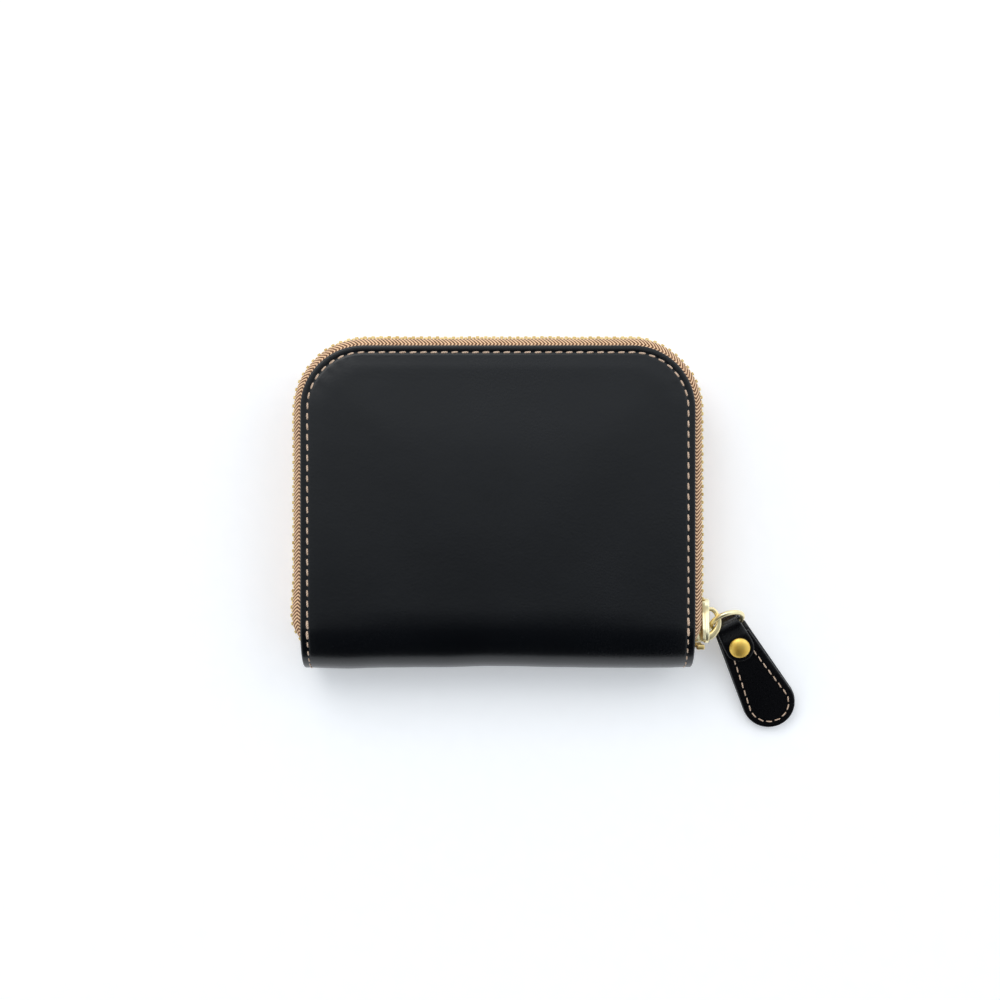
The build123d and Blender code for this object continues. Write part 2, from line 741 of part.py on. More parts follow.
# ---- card slots: stepped panels on the front lining ----
card_slots = []
for index in range(slot_count):
    high = front_inner_z - index * slot_panel
    mouth_y = slot_top_y - index * slot_step
    with BuildPart() as card_slot:
        with BuildSketch(Plane.XY.offset(high - slot_panel)):
            with Locations((0, slot_low_y)):
                Rectangle(2 * slot_half, mouth_y - slot_low_y, align=(Align.CENTER, Align.MIN))
        extrude(amount=slot_panel)
    card_slot.part.label = f"card_slot_{index + 1}"
    card_slots.append(card_slot.part)

# ---- note pocket: one panel on the back lining, with a thumb notch ----
with BuildPart() as note_pocket:
    with BuildSketch(Plane.XY.offset(inner_z)):
        with Locations((0, slot_low_y)):
            Rectangle(2 * slot_half, note_top_y - slot_low_y, align=(Align.CENTER, Align.MIN))
        with Locations((0, note_top_y)):
            Circle(notch_radius, mode=Mode.SUBTRACT)
    extrude(amount=slot_panel)
note_pocket.part.label = "note_pocket"

# ---- write one file per piece ----
os.makedirs("parts", exist_ok=True)
pieces = [
    back_cover.part, front_cover.part, back_cover_stitching.part, front_cover_stitching.part,
    back_board.part, front_board.part, back_lining.part, front_lining.part,
    back_zip_tape.part, front_zip_tape.part, back_zip_teeth.part, front_zip_teeth.part,
    zip_start_stop.part, back_end_stop.part, front_end_stop.part,
    slider_body.part, slider_crown.part, jump_ring.part,
    pull_strap.part, pull_front_leather.part, rivet_cap.part, rivet_post.part, pull_stitching.part,
    left_gusset, right_gusset,
    coin_pocket_front.part, coin_pocket_back.part, coin_pocket_base.part, coin_pocket_binding.part,
    note_pocket.part, *card_slots,
]
for piece in pieces:
    export_step(piece, f"parts/{piece.label}.step")
print(len(pieces), "pieces; ring centre", ring_centre, "pull's fold", fold_point)
print("pull slopes down", degrees(pull_slope), "degrees")
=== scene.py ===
import json
from math import atan2, cos, exp, pi, radians, sin, sqrt, tau

import bmesh
import bpy
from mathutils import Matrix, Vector, noise


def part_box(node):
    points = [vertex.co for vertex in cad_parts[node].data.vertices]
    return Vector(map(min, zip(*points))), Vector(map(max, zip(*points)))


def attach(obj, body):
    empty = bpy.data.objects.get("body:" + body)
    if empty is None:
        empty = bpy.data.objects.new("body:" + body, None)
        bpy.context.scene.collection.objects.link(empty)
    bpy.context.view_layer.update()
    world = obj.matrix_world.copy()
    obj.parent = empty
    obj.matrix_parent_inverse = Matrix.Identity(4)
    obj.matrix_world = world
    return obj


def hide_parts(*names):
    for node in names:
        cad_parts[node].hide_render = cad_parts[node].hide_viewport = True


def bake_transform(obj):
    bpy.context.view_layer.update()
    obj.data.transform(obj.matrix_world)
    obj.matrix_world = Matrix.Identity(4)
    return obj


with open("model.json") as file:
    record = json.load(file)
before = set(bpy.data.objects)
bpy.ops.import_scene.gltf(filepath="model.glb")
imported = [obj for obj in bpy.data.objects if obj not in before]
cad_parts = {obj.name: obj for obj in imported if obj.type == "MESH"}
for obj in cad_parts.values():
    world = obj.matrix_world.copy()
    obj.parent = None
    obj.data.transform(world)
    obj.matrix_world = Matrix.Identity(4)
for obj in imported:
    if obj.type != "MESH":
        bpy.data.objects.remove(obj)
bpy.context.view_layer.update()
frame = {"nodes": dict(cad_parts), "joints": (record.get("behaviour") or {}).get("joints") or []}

# Zip-round leather coin purse, lying on its back cover. Sizes below are in millimetres, in the
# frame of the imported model, and go to metres only when a mesh or an object is made.
MM = 0.001
joints = {joint["name"]: joint for joint in frame["joints"]}


def box_mm(node):
    """Lowest and highest corner of a CAD node, in millimetres."""
    low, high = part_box(node)
    return Vector(low) / MM, Vector(high) / MM


# ---- places, from the frame ----
cover_low, cover_high = box_mm("front_cover")
tape_high = box_mm("front_zip_tape")[1]
side_x = cover_high.x
top_y = cover_high.y
fold_y = cover_low.y
thickness = cover_high.z
mid_z = thickness / 2
fold_radius = thickness / 2
arc_y = fold_y + fold_radius
lining_z = box_mm("front_board")[1].z - mid_z  # half height inside the cover leather
leather = fold_radius - lining_z
tape = 0.5
corner_radius = 17.5
seam_inset = 2.0
seam_pitch = 2.88
wall_x = tape_high.x - tape / 2
bulge = wall_x - side_x
slider_low, slider_high = box_mm("slider_body")
ring_low, ring_high = box_mm("jump_ring")
nose_y = slider_low.y
tail_y = slider_high.y
tooth_pitch = 2.28
tooth_half_gap = 1.3  # tape's edge, from the middle of the chain
chain_half = 1.25  # half the chain's width, out from the purse
chain_end_y = nose_y + 0.6
splay = 1.5  # how far each row parts inside the slider
splay_from_y = nose_y + 8.2


# ---- small helpers ----
def smooth(low, high, value):
    t = min(1.0, max(0.0, (value - low) / (high - low)))
    return t * t * (3 - 2 * t)


def mix(a, b, t):
    return a + (b - a) * t


def bump_at(x, centre, width):
    """A soft hump, 1 high, round centre."""
    return exp(-(((x - centre) / width) ** 2))


def object_from_bmesh(name, bm, material):
    bmesh.ops.recalc_face_normals(bm, faces=bm.faces)
    for vertex in bm.verts:
        vertex.co *= MM
    mesh = bpy.data.meshes.new(name)
    bm.to_mesh(mesh)
    bm.free()
    mesh.materials.append(material)
    for polygon in mesh.polygons:
        polygon.use_smooth = True
    thing = bpy.data.objects.new(name, mesh)
    bpy.context.scene.collection.objects.link(thing)
    return thing


def fit(piece, body, slot, *nodes):
    """Puts a rigid piece on its body and in the place of its CAD nodes, which it hides; slot is not used.
    """
    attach(piece, body)
    if nodes:
        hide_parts(*nodes)


def fit_between(piece, low, high, slot, *nodes):
    """Bakes a soft piece that lies between the two covers into world space and hides its CAD nodes; low,
    high and slot are not used.
    """
    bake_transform(piece)
    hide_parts(*nodes)


def skin(bm, rings):
    """Joins a row of vertex rings into a closed skin, with a face over each end."""
    for first, second in zip(rings, rings[1:]):
        for k in range(len(first)):
            after = (k + 1) % len(first)
            bm.faces.new((first[k], first[after], second[after], second[k]))
    bm.faces.new(list(reversed(rings[0])))
    bm.faces.new(rings[-1])


def arc(centre, radius, start, turn, count):
    """Points on an arc, both ends included; angles in degrees."""
    points = []
    for index in range(count + 1):
        angle = radians(start + turn * index / count)
        points.append((centre[0] + radius * cos(angle), centre[1] + radius * sin(angle)))
    return points


def spaced(points, step, closed=True):
    """The same line with its long runs divided, so that no run is longer than step."""
    result = []
    last = len(points) if closed else len(points) - 1
    for index in range(last):
        a = Vector(points[index])
        b = Vector(points[(index + 1) % len(points)])
        pieces = max(1, int((b - a).length / step + 0.999))
        for piece in range(pieces):
            result.append(tuple(a.lerp(b, piece / pieces)))
    if not closed:
        result.append(tuple(points[-1]))
    return result


def clean_line(points):
    """Drops points that repeat the one before."""
    result = []
    for point in points:
        if not result or (Vector(point) - Vector(result[-1])).length > 1e-4:
            result.append(point)
    if (Vector(result[0]) - Vector(result[-1])).length < 1e-4:
        result.pop()
    return result


def counter_clockwise(points):
    area = sum(a[0] * b[1] - b[0] * a[1] for a, b in zip(points, points[1:] + points[:1]))
    return points if area > 0 else list(reversed(points))


def inward(points):
    """Unit inward normal at each point of a closed line that runs counter-clockwise."""
    normals = []
    count = len(points)
    for index in range(count):
        a = Vector(points[index - 1])
        b = Vector(points[(index + 1) % count])
        along_line = (b - a).normalized()
        normals.append(Vector((-along_line.y, along_line.x)))
    return normals


def panel(name, outline, profile, cuts, place, material):
    """A closed sheet of leather or cloth. outline is its flat shape, profile its edge as
    (inset, depth) from the outer face to the inner one, cuts the spacing of the flat faces'
    grid, and place takes a flat point and a depth to its place on the purse."""
    outline = clean_line(counter_clockwise(outline))
    normals = inward(outline)
    bm = bmesh.new()
    rings = []
    for inset, depth in profile:
        ring = []
        for point, normal in zip(outline, normals):
            ring.append(bm.verts.new((point[0] + normal.x * inset, point[1] + normal.y * inset, depth)))
        rings.append(ring)
    count = len(outline)
    for upper, lower in zip(rings, rings[1:]):
        for index in range(count):
            after = (index + 1) % count
            bm.faces.new((upper[index], upper[after], lower[after], lower[index]))
    bm.faces.new(rings[0])
    bm.faces.new(list(reversed(rings[-1])))
    for axis in (0, 1):
        low = min(point[axis] for point in outline)
        high = max(point[axis] for point in outline)
        steps = int((high - low) / cuts[axis])
        for index in range(1, steps):
            where = [0.0, 0.0, 0.0]
            where[axis] = low + (high - low) * index / steps
            across_cut = [0.0, 0.0, 0.0]
            across_cut[axis] = 1.0
            everything = bm.verts[:] + bm.edges[:] + bm.faces[:]
            bmesh.ops.bisect_plane(bm, geom=everything, dist=1e-5, plane_co=where, plane_no=across_cut)
    bmesh.ops.triangulate(bm, faces=[face for face in bm.faces if len(face.verts) > 4])
    for vertex in bm.verts:
        vertex.co = Vector(place(vertex.co.x, vertex.co.y, vertex.co.z))
    return object_from_bmesh(name, bm, material)


def rounded_edge(thick, radius, lining_radius=None):
    """Edge profile for panel(): a flat rim, a rounded outer corner, the edge, and the inner corner."""
    low_radius = radius if lining_radius is None else lining_radius
    points = []
    for index in range(6):
        angle = pi / 2 * index / 5
        points.append((radius * (1 - sin(angle)), radius * (1 - cos(angle))))
    for index in range(5):
        angle = pi / 2 * index / 4
        points.append((low_radius * (1 - cos(angle)), thick - low_radius * (1 - sin(angle))))
    return clean_line(points)


def swept(name, centres, frames, section, material):
    """A closed section swept along centres. frames are (side, up) vectors, section is (side, up) points."""
    bm = bmesh.new()
    rings = []
    for centre, (side, up) in zip(centres, frames):
        rings.append([bm.verts.new(centre + side * a + up * b) for a, b in section])
    skin(bm, rings)
    return object_from_bmesh(name, bm, material)


# ---- materials ----
class Shader:
    """A node material with a Principled shader, and short ways to add nodes to it."""

    def __init__(self, name, colour, roughness, metallic=0.0):
        self.material = bpy.data.materials.new(name)
        self.material.use_nodes = True
        self.tree = self.material.node_tree
        self.base = self.tree.nodes["Principled BSDF"]
        self.base.inputs["Base Color"].default_value = (*colour, 1)
        self.base.inputs["Roughness"].default_value = roughness
        self.base.inputs["Metallic"].default_value = metallic
        self.height = None

    def node(self, kind, **settings):
        made = self.tree.nodes.new(kind)
        for key, value in settings.items():
            if key in made.inputs:
                made.inputs[key].default_value = value
            else:
                setattr(made, key, value)
        return made

    def link(self, source, target):
        self.tree.links.new(source, target)

    def position(self, scale=(1, 1, 1), turn=(0, 0, 0), source="Object"):
        coordinates = self.node("ShaderNodeTexCoord")
        mapping = self.node("ShaderNodeMapping")
        mapping.inputs["Scale"].default_value = scale
        mapping.inputs["Rotation"].default_value = turn
        self.link(coordinates.outputs[source], mapping.inputs["Vector"])
        return mapping.outputs["Vector"]

    def noise(self, scale, detail=3.0, vector=None):
        made = self.node("ShaderNodeTexNoise", Scale=scale, Detail=detail)
        self.link(vector or self.position(), made.inputs["Vector"])
        return made.outputs["Fac"]

    def ramp(self, factor, stops):
        made = self.node("ShaderNodeValToRGB")
        elements = made.color_ramp.elements
        while len(elements) < len(stops):
            elements.new(0.5)
        for element, (place, colour) in zip(elements, stops):
            element.position = place
            element.color = (*colour, 1)
        self.link(factor, made.inputs["Fac"])
        return made.outputs["Color"]

    def math(self, operation, first, second):
        made = self.node("ShaderNodeMath", operation=operation)
        for index, value in enumerate((first, second)):
            if isinstance(value, (int, float)):
                made.inputs[index].default_value = value
            else:
                self.link(value, made.inputs[index])
        return made.outputs["Value"]

    def spread(self, factor, low, high):
        """factor, 0 to 1, brought to low to high."""
        made = self.node("ShaderNodeMapRange")
        made.inputs["To Min"].default_value = low
        made.inputs["To Max"].default_value = high
        self.link(factor, made.inputs["Value"])
        return made.outputs["Result"]

    def average(self, first, second, share=0.5):
        """Two factors added up, the first with the given share and the second with the rest."""
        first = self.math("MULTIPLY", first, share)
        return self.math("ADD", first, self.math("MULTIPLY", second, 1 - share))

    def colour(self, factor, *stops):
        self.link(self.ramp(factor, stops), self.base.inputs["Base Color"])

    def gloss(self, factor, low, high):
        self.link(self.spread(factor, low, high), self.base.inputs["Roughness"])

    def bump(self, factor, distance, strength=1.0):
        made = self.node("ShaderNodeBump", Strength=strength, Distance=distance)
        self.link(factor, made.inputs["Height"])
        if self.height is not None:
            self.link(self.height, made.inputs["Normal"])
        self.height = made.outputs["Normal"]
        self.link(self.height, self.base.inputs["Normal"])

    def set(self, **sockets):
        for key, value in sockets.items():
            self.base.inputs[key.replace("_", " ")].default_value = value


def leather_material(name, dark, light, roughness):
    """Smooth dyed calf: faint pores, soft clouds in the dye, and a slightly uneven gloss."""
    made = Shader(name, dark, roughness)
    clouds = made.noise(28.0, 4.0)
    grain = made.noise(1500.0, 3.0)
    made.colour(clouds, (0.3, dark), (0.7, light))
    made.gloss(made.average(clouds, grain), roughness - 0.06, roughness + 0.07)
    pores = made.node("ShaderNodeTexVoronoi", Scale=1900.0, feature="SMOOTH_F1")
    made.link(made.position(), pores.inputs["Vector"])
    made.bump(pores.outputs["Distance"], 0.00003, 0.35)
    made.bump(grain, 0.00002, 0.4)
    made.bump(made.noise(160.0, 2.0), 0.00006, 0.35)
    made.set(Specular_IOR_Level=0.42)
    return made.material


def thread_material(name, dark, light):
    """Waxed thread: a tight two-ply twist, painted lighter on the plies' crowns and darker between them
    (painted highlight and painted shade).
    """
    made = Shader(name, light, 0.55)
    twist = made.node("ShaderNodeTexWave", Scale=900.0, Distortion=1.5, Detail=2.0)
    made.link(made.position(turn=(0.3, 0.5, 0.7)), twist.inputs["Vector"])
    # colour: the twist paints highlight on the plies' crowns and shade in their grooves; the finer noise
    # adds the thread's own uneven tone
    made.colour(made.average(twist.outputs["Fac"], made.noise(700.0)), (0.25, dark), (0.7, light))
    made.bump(twist.outputs["Fac"], 0.00005, 0.7)
    made.set(Sheen_Weight=0.3, Sheen_Roughness=0.5)
    return made.material


def tape_material(name, dark, middle, light):
    """Herringbone zip tape, its ribs painted darker in their grooves and lighter on their crowns (painted
    shade and painted highlight). The UV map runs along the tape and across it, in millimetres.
    """
    made = Shader(name, middle, 0.85)
    across_tape = made.node("ShaderNodeSeparateXYZ")
    made.link(made.position(source="UV"), across_tape.inputs["Vector"])
    run = across_tape.outputs["X"]
    rise = across_tape.outputs["Y"]
    band_width = 2.2
    rib_slope = 0.8
    rib_pitch = 1.0
    cross_pitch = 0.55
    zigzag = made.math("PINGPONG", rise, band_width)
    slant = made.math("ADD", run, made.math("MULTIPLY", zigzag, rib_slope))
    rib = made.math("SINE", made.math("MULTIPLY", slant, tau / rib_pitch), 0.0)
    cross = made.math("SINE", made.math("MULTIPLY", rise, tau / cross_pitch), 0.0)
    weave = made.math("ADD", made.math("MULTIPLY", rib, 0.5), made.math("MULTIPLY", cross, 0.08))
    fuzz = made.noise(1500.0, 3.0)
    loose = made.average(fuzz, made.noise(420.0, 3.0), 0.6)
    # colour: the weave paints shade in the rib grooves and highlight on the rib crowns; the noise adds
    # uneven yarn tone
    made.colour(made.math("ADD", weave, loose), (0.1, dark), (0.5, middle), (0.9, light))
    made.bump(made.spread(weave, 0.0, 1.0), 0.0002, 0.9)
    made.bump(fuzz, 0.00006, 0.6)
    made.set(Sheen_Weight=0.08, Sheen_Roughness=0.6, Specular_IOR_Level=0.2)
    return made.material


def cloth_material(name, dark, light):
    """Cotton twill lining: fine diagonal ribs, painted lighter on their crowns and darker between them
    (painted highlight and painted shade), and loose fibre.
    """
    made = Shader(name, dark, 0.9)
    ribs = made.node("ShaderNodeTexWave", Scale=1100.0, Distortion=0.6, Detail=2.0)
    made.link(made.position(turn=(0, 0, 0.9)), ribs.inputs["Vector"])
    fibre = made.noise(1800.0, 3.0)
    # colour: the ribs paint highlight on their crowns and shade between them; the fibre noise adds the
    # cloth's own uneven tone
    made.colour(made.average(ribs.outputs["Fac"], fibre), (0.3, dark), (0.75, light))
    made.bump(ribs.outputs["Fac"], 0.00006, 0.6)
    made.bump(fibre, 0.00003, 0.5)
    made.set(Sheen_Weight=0.25, Sheen_Roughness=0.6)
    return made.material


def metal_material(name, dark, light, roughness, wear):
    """Plated or raw brass: tone drifts slowly, with hair scratches that break up the gloss."""
    made = Shader(name, light, roughness, 1.0)
    drift = made.noise(260.0, 4.0)
    hair = made.noise(900.0, 4.0, made.position(scale=(1, 0.12, 1), turn=(0.2, 0.1, 0.4)))
    made.colour(drift, (0.3, dark), (0.65, light))
    made.gloss(hair, roughness - wear, roughness + wear)
    made.bump(hair, 0.00002, 0.35)
    return made.material


def board_material(name, dark, light):
    """Fibre board between the leather and the lining."""
    made = Shader(name, dark, 0.95)
    fleck = made.noise(900.0, 5.0)
    made.colour(fleck, (0.35, dark), (0.7, light))
    made.bump(fleck, 0.00006, 0.6)
    return made.material


cover_leather = leather_material("cover_leather", (0.0010, 0.0014, 0.0022), (0.0022, 0.0028, 0.0040), 0.25)
pull_look = leather_material("pull_leather", (0.0008, 0.0008, 0.0012), (0.002, 0.002, 0.003), 0.27)
thread_look = thread_material("thread", (0.36, 0.22, 0.13), (0.82, 0.60, 0.44))
tape_look = tape_material("zip_tape", (0.09, 0.04, 0.018), (0.50, 0.24, 0.12), (1.0, 0.68, 0.42))
lining_look = cloth_material("lining", (0.16, 0.10, 0.065), (0.30, 0.20, 0.13))
brass_look = metal_material("zip_brass", (0.72, 0.50, 0.18), (0.98, 0.78, 0.36), 0.34, 0.08)
gold_look = metal_material("slider_brass", (1.0, 0.82, 0.43), (1.0, 0.92, 0.62), 0.33, 0.06)
rivet_look = metal_material("rivet_brass", (0.92, 0.56, 0.10), (1.0, 0.72, 0.19), 0.47, 0.08)
board_look = board_material("board", (0.25, 0.19, 0.13), (0.42, 0.34, 0.25))

# ---- cover: the flat pattern runs from the back's top edge, round the fold, to the front's ----
quarter = fold_radius * pi / 2
half_run = quarter + top_y - arc_y


def pattern_outline(inset, step=1.6):
    """Rounded outline of the whole cover, laid flat, set in by inset."""
    side = side_x - inset
    run = half_run - inset
    radius = corner_radius - inset
    points = []
    for start, (right, up) in zip((0, 90, 180, 270), ((1, 1), (-1, 1), (-1, -1), (1, -1))):
        points += arc((right * (side - radius), up * (run - radius)), radius, start, 90, 16)
    return spaced(clean_line(points), step)


def inset_of(x, run):
    """Distance of a flat point from the cover's edge."""
    dx = abs(x) - (side_x - corner_radius)
    dy = abs(run) - (half_run - corner_radius)
    if dx > 0 and dy > 0:
        return corner_radius - sqrt(dx * dx + dy * dy)
    return min(side_x - abs(x), half_run - abs(run))


def on_cover(x, run, depth):
    """Place on the purse of a flat point of the cover, depth under its outer face."""
    if abs(run) <= quarter:
        angle = run / fold_radius
        y = arc_y - (fold_radius - depth) * cos(angle)
        z = mid_z + (fold_radius - depth) * sin(angle)
    else:
        y = arc_y + abs(run) - quarter
        z = mid_z + (fold_radius - depth) * (1 if run > 0 else -1)
    return Vector((x, y, z))


def soft_cover(x, run, depth):
    """on_cover() with the leather's own shape: a padded middle, a seam groove and a slack fold."""
    inset = inset_of(x, run)
    level = on_cover(x, run, depth)
    facing = (level - on_cover(x, run, depth + 1)).normalized()
    flat = smooth(quarter * 0.8, quarter * 1.25, abs(run))
    near_fold = 1 - flat
    padded = 0.22 * smooth(3.4, 5.6, inset) * (1 - 0.45 * near_fold)
    groove = -0.16 * bump_at(inset, seam_inset, 0.42) if depth < 0.4 else 0.0
    if run > 0:
        crown = 0.25 * smooth(4, 30, inset) * flat
        drift = 0.10 * noise.noise(Vector((x / 21.0, run / 24.0, 3.0))) * smooth(1, 6, inset)
        lift = padded + crown + drift
    else:
        lift = padded * near_fold  # the resting face stays flat
    slack = 0.42 * bump_at(x, 2.0, 15.0) - 0.30 * bump_at(x, -46.0, 10.0) - 0.10 * bump_at(x, 34.0, 16.0)
    slack += 0.12 * noise.noise(Vector((x / 9.0, run / 30.0, 8.0)))
    spot = level + facing * (lift + groove) + Vector((0, slack * near_fold, 0))
    if depth >= 0:
        spot.z = max(spot.z, 0.0)  # nothing goes through the table
    return spot


# extra rings on the face carry the seam's groove
cover_edge = [(inset, 0.0) for inset in (2.9, 2.45, seam_inset, 1.55, 1.0)]
cover_edge += rounded_edge(leather, 0.5, 0.3)
cover = panel("cover_leather_skin", pattern_outline(0), cover_edge, (2.6, 1.7), soft_cover, cover_leather)
fold_blend = 9.0  # the fold's span under and over mid height, handed to fit_between, which does not use it
lining_blend = 8.0
fit_between(cover, mid_z - fold_blend, mid_z + fold_blend, "cover_leather", "front_cover", "back_cover")

lining_thick = 0.5
lining_depth = leather + tape


def on_lining(x, run, depth):
    ripple = 0.10 * noise.noise(Vector((x / 14.0, run / 11.0, 21.0)))
    return on_cover(x, run, lining_depth + depth + ripple * smooth(3, 8, inset_of(x, run)))


lining_edge = rounded_edge(lining_thick, 0.15)
lining = panel("lining_cloth", pattern_outline(1.6, 2.5), lining_edge, (4.0, 2.5), on_lining, lining_look)
fit_between(lining, mid_z - lining_blend, mid_z + lining_blend, "lining", "front_lining", "back_lining")


# ---- stitches ----
def add_stitch(bm, place, centre, heading, length, radius, lift):
    """One stitch as a short cord that rises out of one hole and dives into the next."""
    steps, sides = 8, 8
    dive = 0.34
    line = []
    for index in range(steps + 1):
        t = index / steps
        reach = (t - 0.5) * length
        height = lift * (1 - abs(2 * t - 1) ** 3.2) - dive * abs(2 * t - 1) ** 6
        line.append(place(centre[0] + heading.x * reach, centre[1] + heading.y * reach, -height))
    away = (place(centre[0], centre[1], -1) - place(centre[0], centre[1], 0)).normalized()
    rings = []
    for index, point in enumerate(line):
        ahead = (line[min(steps, index + 1)] - line[max(0, index - 1)]).normalized()
        side = ahead.cross(away).normalized()
        up = side.cross(ahead)
        swell = radius * (0.72 + 0.28 * sin(pi * index / steps))
        ring = []
        for k in range(sides):
            angle = tau * k / sides
            ring.append(bm.verts.new(point + (side * cos(angle) + up * sin(angle) * 0.8) * swell))
        rings.append(ring)
    skin(bm, rings)


def running_lengths(points):
    """Distance along a line at each of its points."""
    lengths = [0.0]
    for a, b in zip(points, points[1:]):
        lengths.append(lengths[-1] + (Vector(b) - Vector(a)).length)
    return lengths


def line_length(points, closed=True):
    return running_lengths(points + points[:1] if closed else points)[-1]


def span_at(lengths, distance, index=0):
    """The stretch of a line, from index on, that holds a distance, and how far along the stretch it is."""
    while index < len(lengths) - 2 and lengths[index + 1] < distance:
        index += 1
    return index, (distance - lengths[index]) / (lengths[index + 1] - lengths[index])


def walk(points, distances, closed=True):
    """Points and headings at the given rising distances along a line."""
    line = [Vector(point) for point in (points + points[:1] if closed else points)]
    lengths = running_lengths(line)
    found = []
    index = 0
    for distance in distances:
        index, t = span_at(lengths, distance, index)
        found.append((line[index].lerp(line[index + 1], t), (line[index + 1] - line[index]).normalized()))
    return found


def evenly(line, count, closed=True):
    """Points and headings in the middles of count equal stretches of a line."""
    length = line_length(line, closed)
    return walk(line, [(k + 0.5) * length / count for k in range(count)], closed)


def leaned(heading, degrees):
    angle = radians(degrees)
    x = heading.x * cos(angle) - heading.y * sin(angle)
    return Vector((x, heading.x * sin(angle) + heading.y * cos(angle)))


seam_line = pattern_outline(seam_inset, 0.8)
seam_count = round(line_length(seam_line) / seam_pitch)
front_bm = bmesh.new()
back_bm = bmesh.new()
for index, (centre, heading) in enumerate(evenly(seam_line, seam_count)):
    turned = leaned(heading, 4.0 + 2.5 * noise.noise(Vector((index * 0.9, 5.0, 0.0))))
    wobble = 0.05 * noise.noise(Vector((index * 1.7, 0.0, 2.0)))
    centre = centre + Vector((-heading.y, heading.x)) * wobble
    on_side = abs(abs(centre.x) - (side_x - seam_inset)) < 0.1
    along_y = arc_y + abs(centre.y) - quarter
    radius = 0.27
    length = 1.95 + 0.12 * noise.noise(Vector((index * 2.3, 1.0, 4.0)))
    lift = 0.16
    if on_side and arc_y - 2.6 < along_y < arc_y + 3.4:
        radius, length, lift = 0.36, 2.35, 0.26  # back-tacked, so the thread lies double
    if on_side and abs(centre.y) < quarter - 2.6:
        radius, length = 0.20, 1.7
    if centre.y < -quarter * 0.8:
        lift = 0.14 - radius * 0.8  # under the purse the thread lies flush in its groove
    seam_bm = back_bm if centre.y < 0 else front_bm
    add_stitch(seam_bm, soft_cover, centre, turned, length, radius, lift)
for end, seam_bm in (("front", front_bm), ("back", back_bm)):
    seam = object_from_bmesh(f"{end}_seam_stitches", seam_bm, thread_look)
    fit_between(seam, mid_z - fold_blend, mid_z + fold_blend, "thread", f"{end}_cover_stitching")


# ---- zip: one path for both tapes and both rows, from the left end to the right one ----
def zip_path():
    """Plan points of the leather's edge from the left end, over the top, to the right end."""
    radius = corner_radius
    points = [(-side_x, fold_y + 4.0)]
    points += arc((-side_x + radius, top_y - radius), radius, 180, -90, 20)
    points += arc((side_x - radius, top_y - radius), radius, 90, -90, 20)
    points += [(side_x, fold_y + 4.0)]
    return clean_line(points)


def zip_station(point, heading):
    """(outward vector, how far out the chain runs) at a point of the zip's path."""
    outward = Vector((-heading.y, heading.x, 0))
    out = bulge + 0.16 * noise.noise(Vector((point.x / 9.0, point.y / 9.0, 1.0)))
    if point.y < arc_y + 3:
        tuck = smooth(arc_y + 1.5, arc_y - 9.5, point.y)
        out -= tuck * (4.4 if point.x < 0 else 3.4)
    if point.x < 0:
        out += 0.55 * bump_at(point.y, arc_y + 3.7, 5.0)
    return outward, out


def row_splay(point):
    if point.x < 0 or point.y > splay_from_y:
        return 0.0
    return splay * min(1.0, (splay_from_y - point.y) / (splay_from_y - nose_y))


sewn_margin = 7.0


def zip_tape(name, side):
    """One tape, as a thin sheet with its sewn margin, its bend and its wall; side is 1 for the front."""
    path = zip_path()
    total = line_length(path, False)
    cuts = 330
    stations = walk(spaced(path, 0.9, False), [total * k / cuts for k in range(cuts + 1)], False)
    bm = bmesh.new()
    uv_layer = bm.loops.layers.uv.new("tape")
    rings = []
    spots = {}
    for number, (point, heading) in enumerate(stations):
        outward, out = zip_station(point, heading)
        inner_half = fold_radius - leather
        if point.y < arc_y:
            inner_half = sqrt(max(1.0, inner_half**2 - (arc_y - point.y) ** 2))
        roof = inner_half - tape / 2 - 0.03
        edge = tooth_half_gap + row_splay(point)
        bend = max(0.6, min(3.3, roof - edge - 0.6))
        crest = out - 0.4
        section = []
        margin = sewn_margin + min(0.0, out - bulge)
        for k in range(4):
            section.append((mix(crest - bend - margin, crest - bend, k / 3), roof))
        for k in range(1, 9):
            angle = pi / 2 * k / 8
            section.append((crest - bend + bend * sin(angle), roof - bend + bend * cos(angle)))
        sag = 0.22 * noise.noise(Vector((point.x / 6.0, point.y / 6.0, 5.0 * side)))
        for k in range(1, 7):
            height = mix(roof - bend, edge, k / 6)
            section.append((mix(crest, out, k / 6) + sag * sin(pi * k / 6), height))
        ring_out, ring_in = [], []
        lengths = running_lengths(section)
        for k, (reach, height) in enumerate(section):
            before = section[max(0, k - 1)]
            after = section[min(len(section) - 1, k + 1)]
            run = Vector((after[0] - before[0], after[1] - before[1])).normalized()
            for ring, push in ((ring_out, tape / 2), (ring_in, -tape / 2)):
                rise = side * (height + run.x * push)
                spot = Vector((point.x, point.y, mid_z + rise)) + outward * (reach - run.y * push)
                vertex = bm.verts.new(spot)
                spots[vertex] = (total * number / cuts, lengths[k] + (tape if push < 0 else 0.0))
                ring.append(vertex)
        rings.append(ring_out + list(reversed(ring_in)))
    skin(bm, rings)
    for face in bm.faces:
        for loop in face.loops:
            loop[uv_layer].uv = spots[loop.vert]
    return object_from_bmesh(name, bm, tape_look)


# half of a tooth's section, as (outward, height): a narrow nib, then the block pinched on the tape
TOOTH_HALF = ((0.66, -0.55), (0.86, -0.25), (1.1, 0.25), (1.1, 2.15), (0.95, 2.3))
TOOTH = [(-TOOTH_HALF[0][0], TOOTH_HALF[0][1]), *TOOTH_HALF]
TOOTH += [(-out, height) for out, height in reversed(TOOTH_HALF[1:])]
tooth_middle = 0.9
tooth_half_width = 0.49
tooth_bevel = 0.12
tooth_bevel_shrink = 0.86


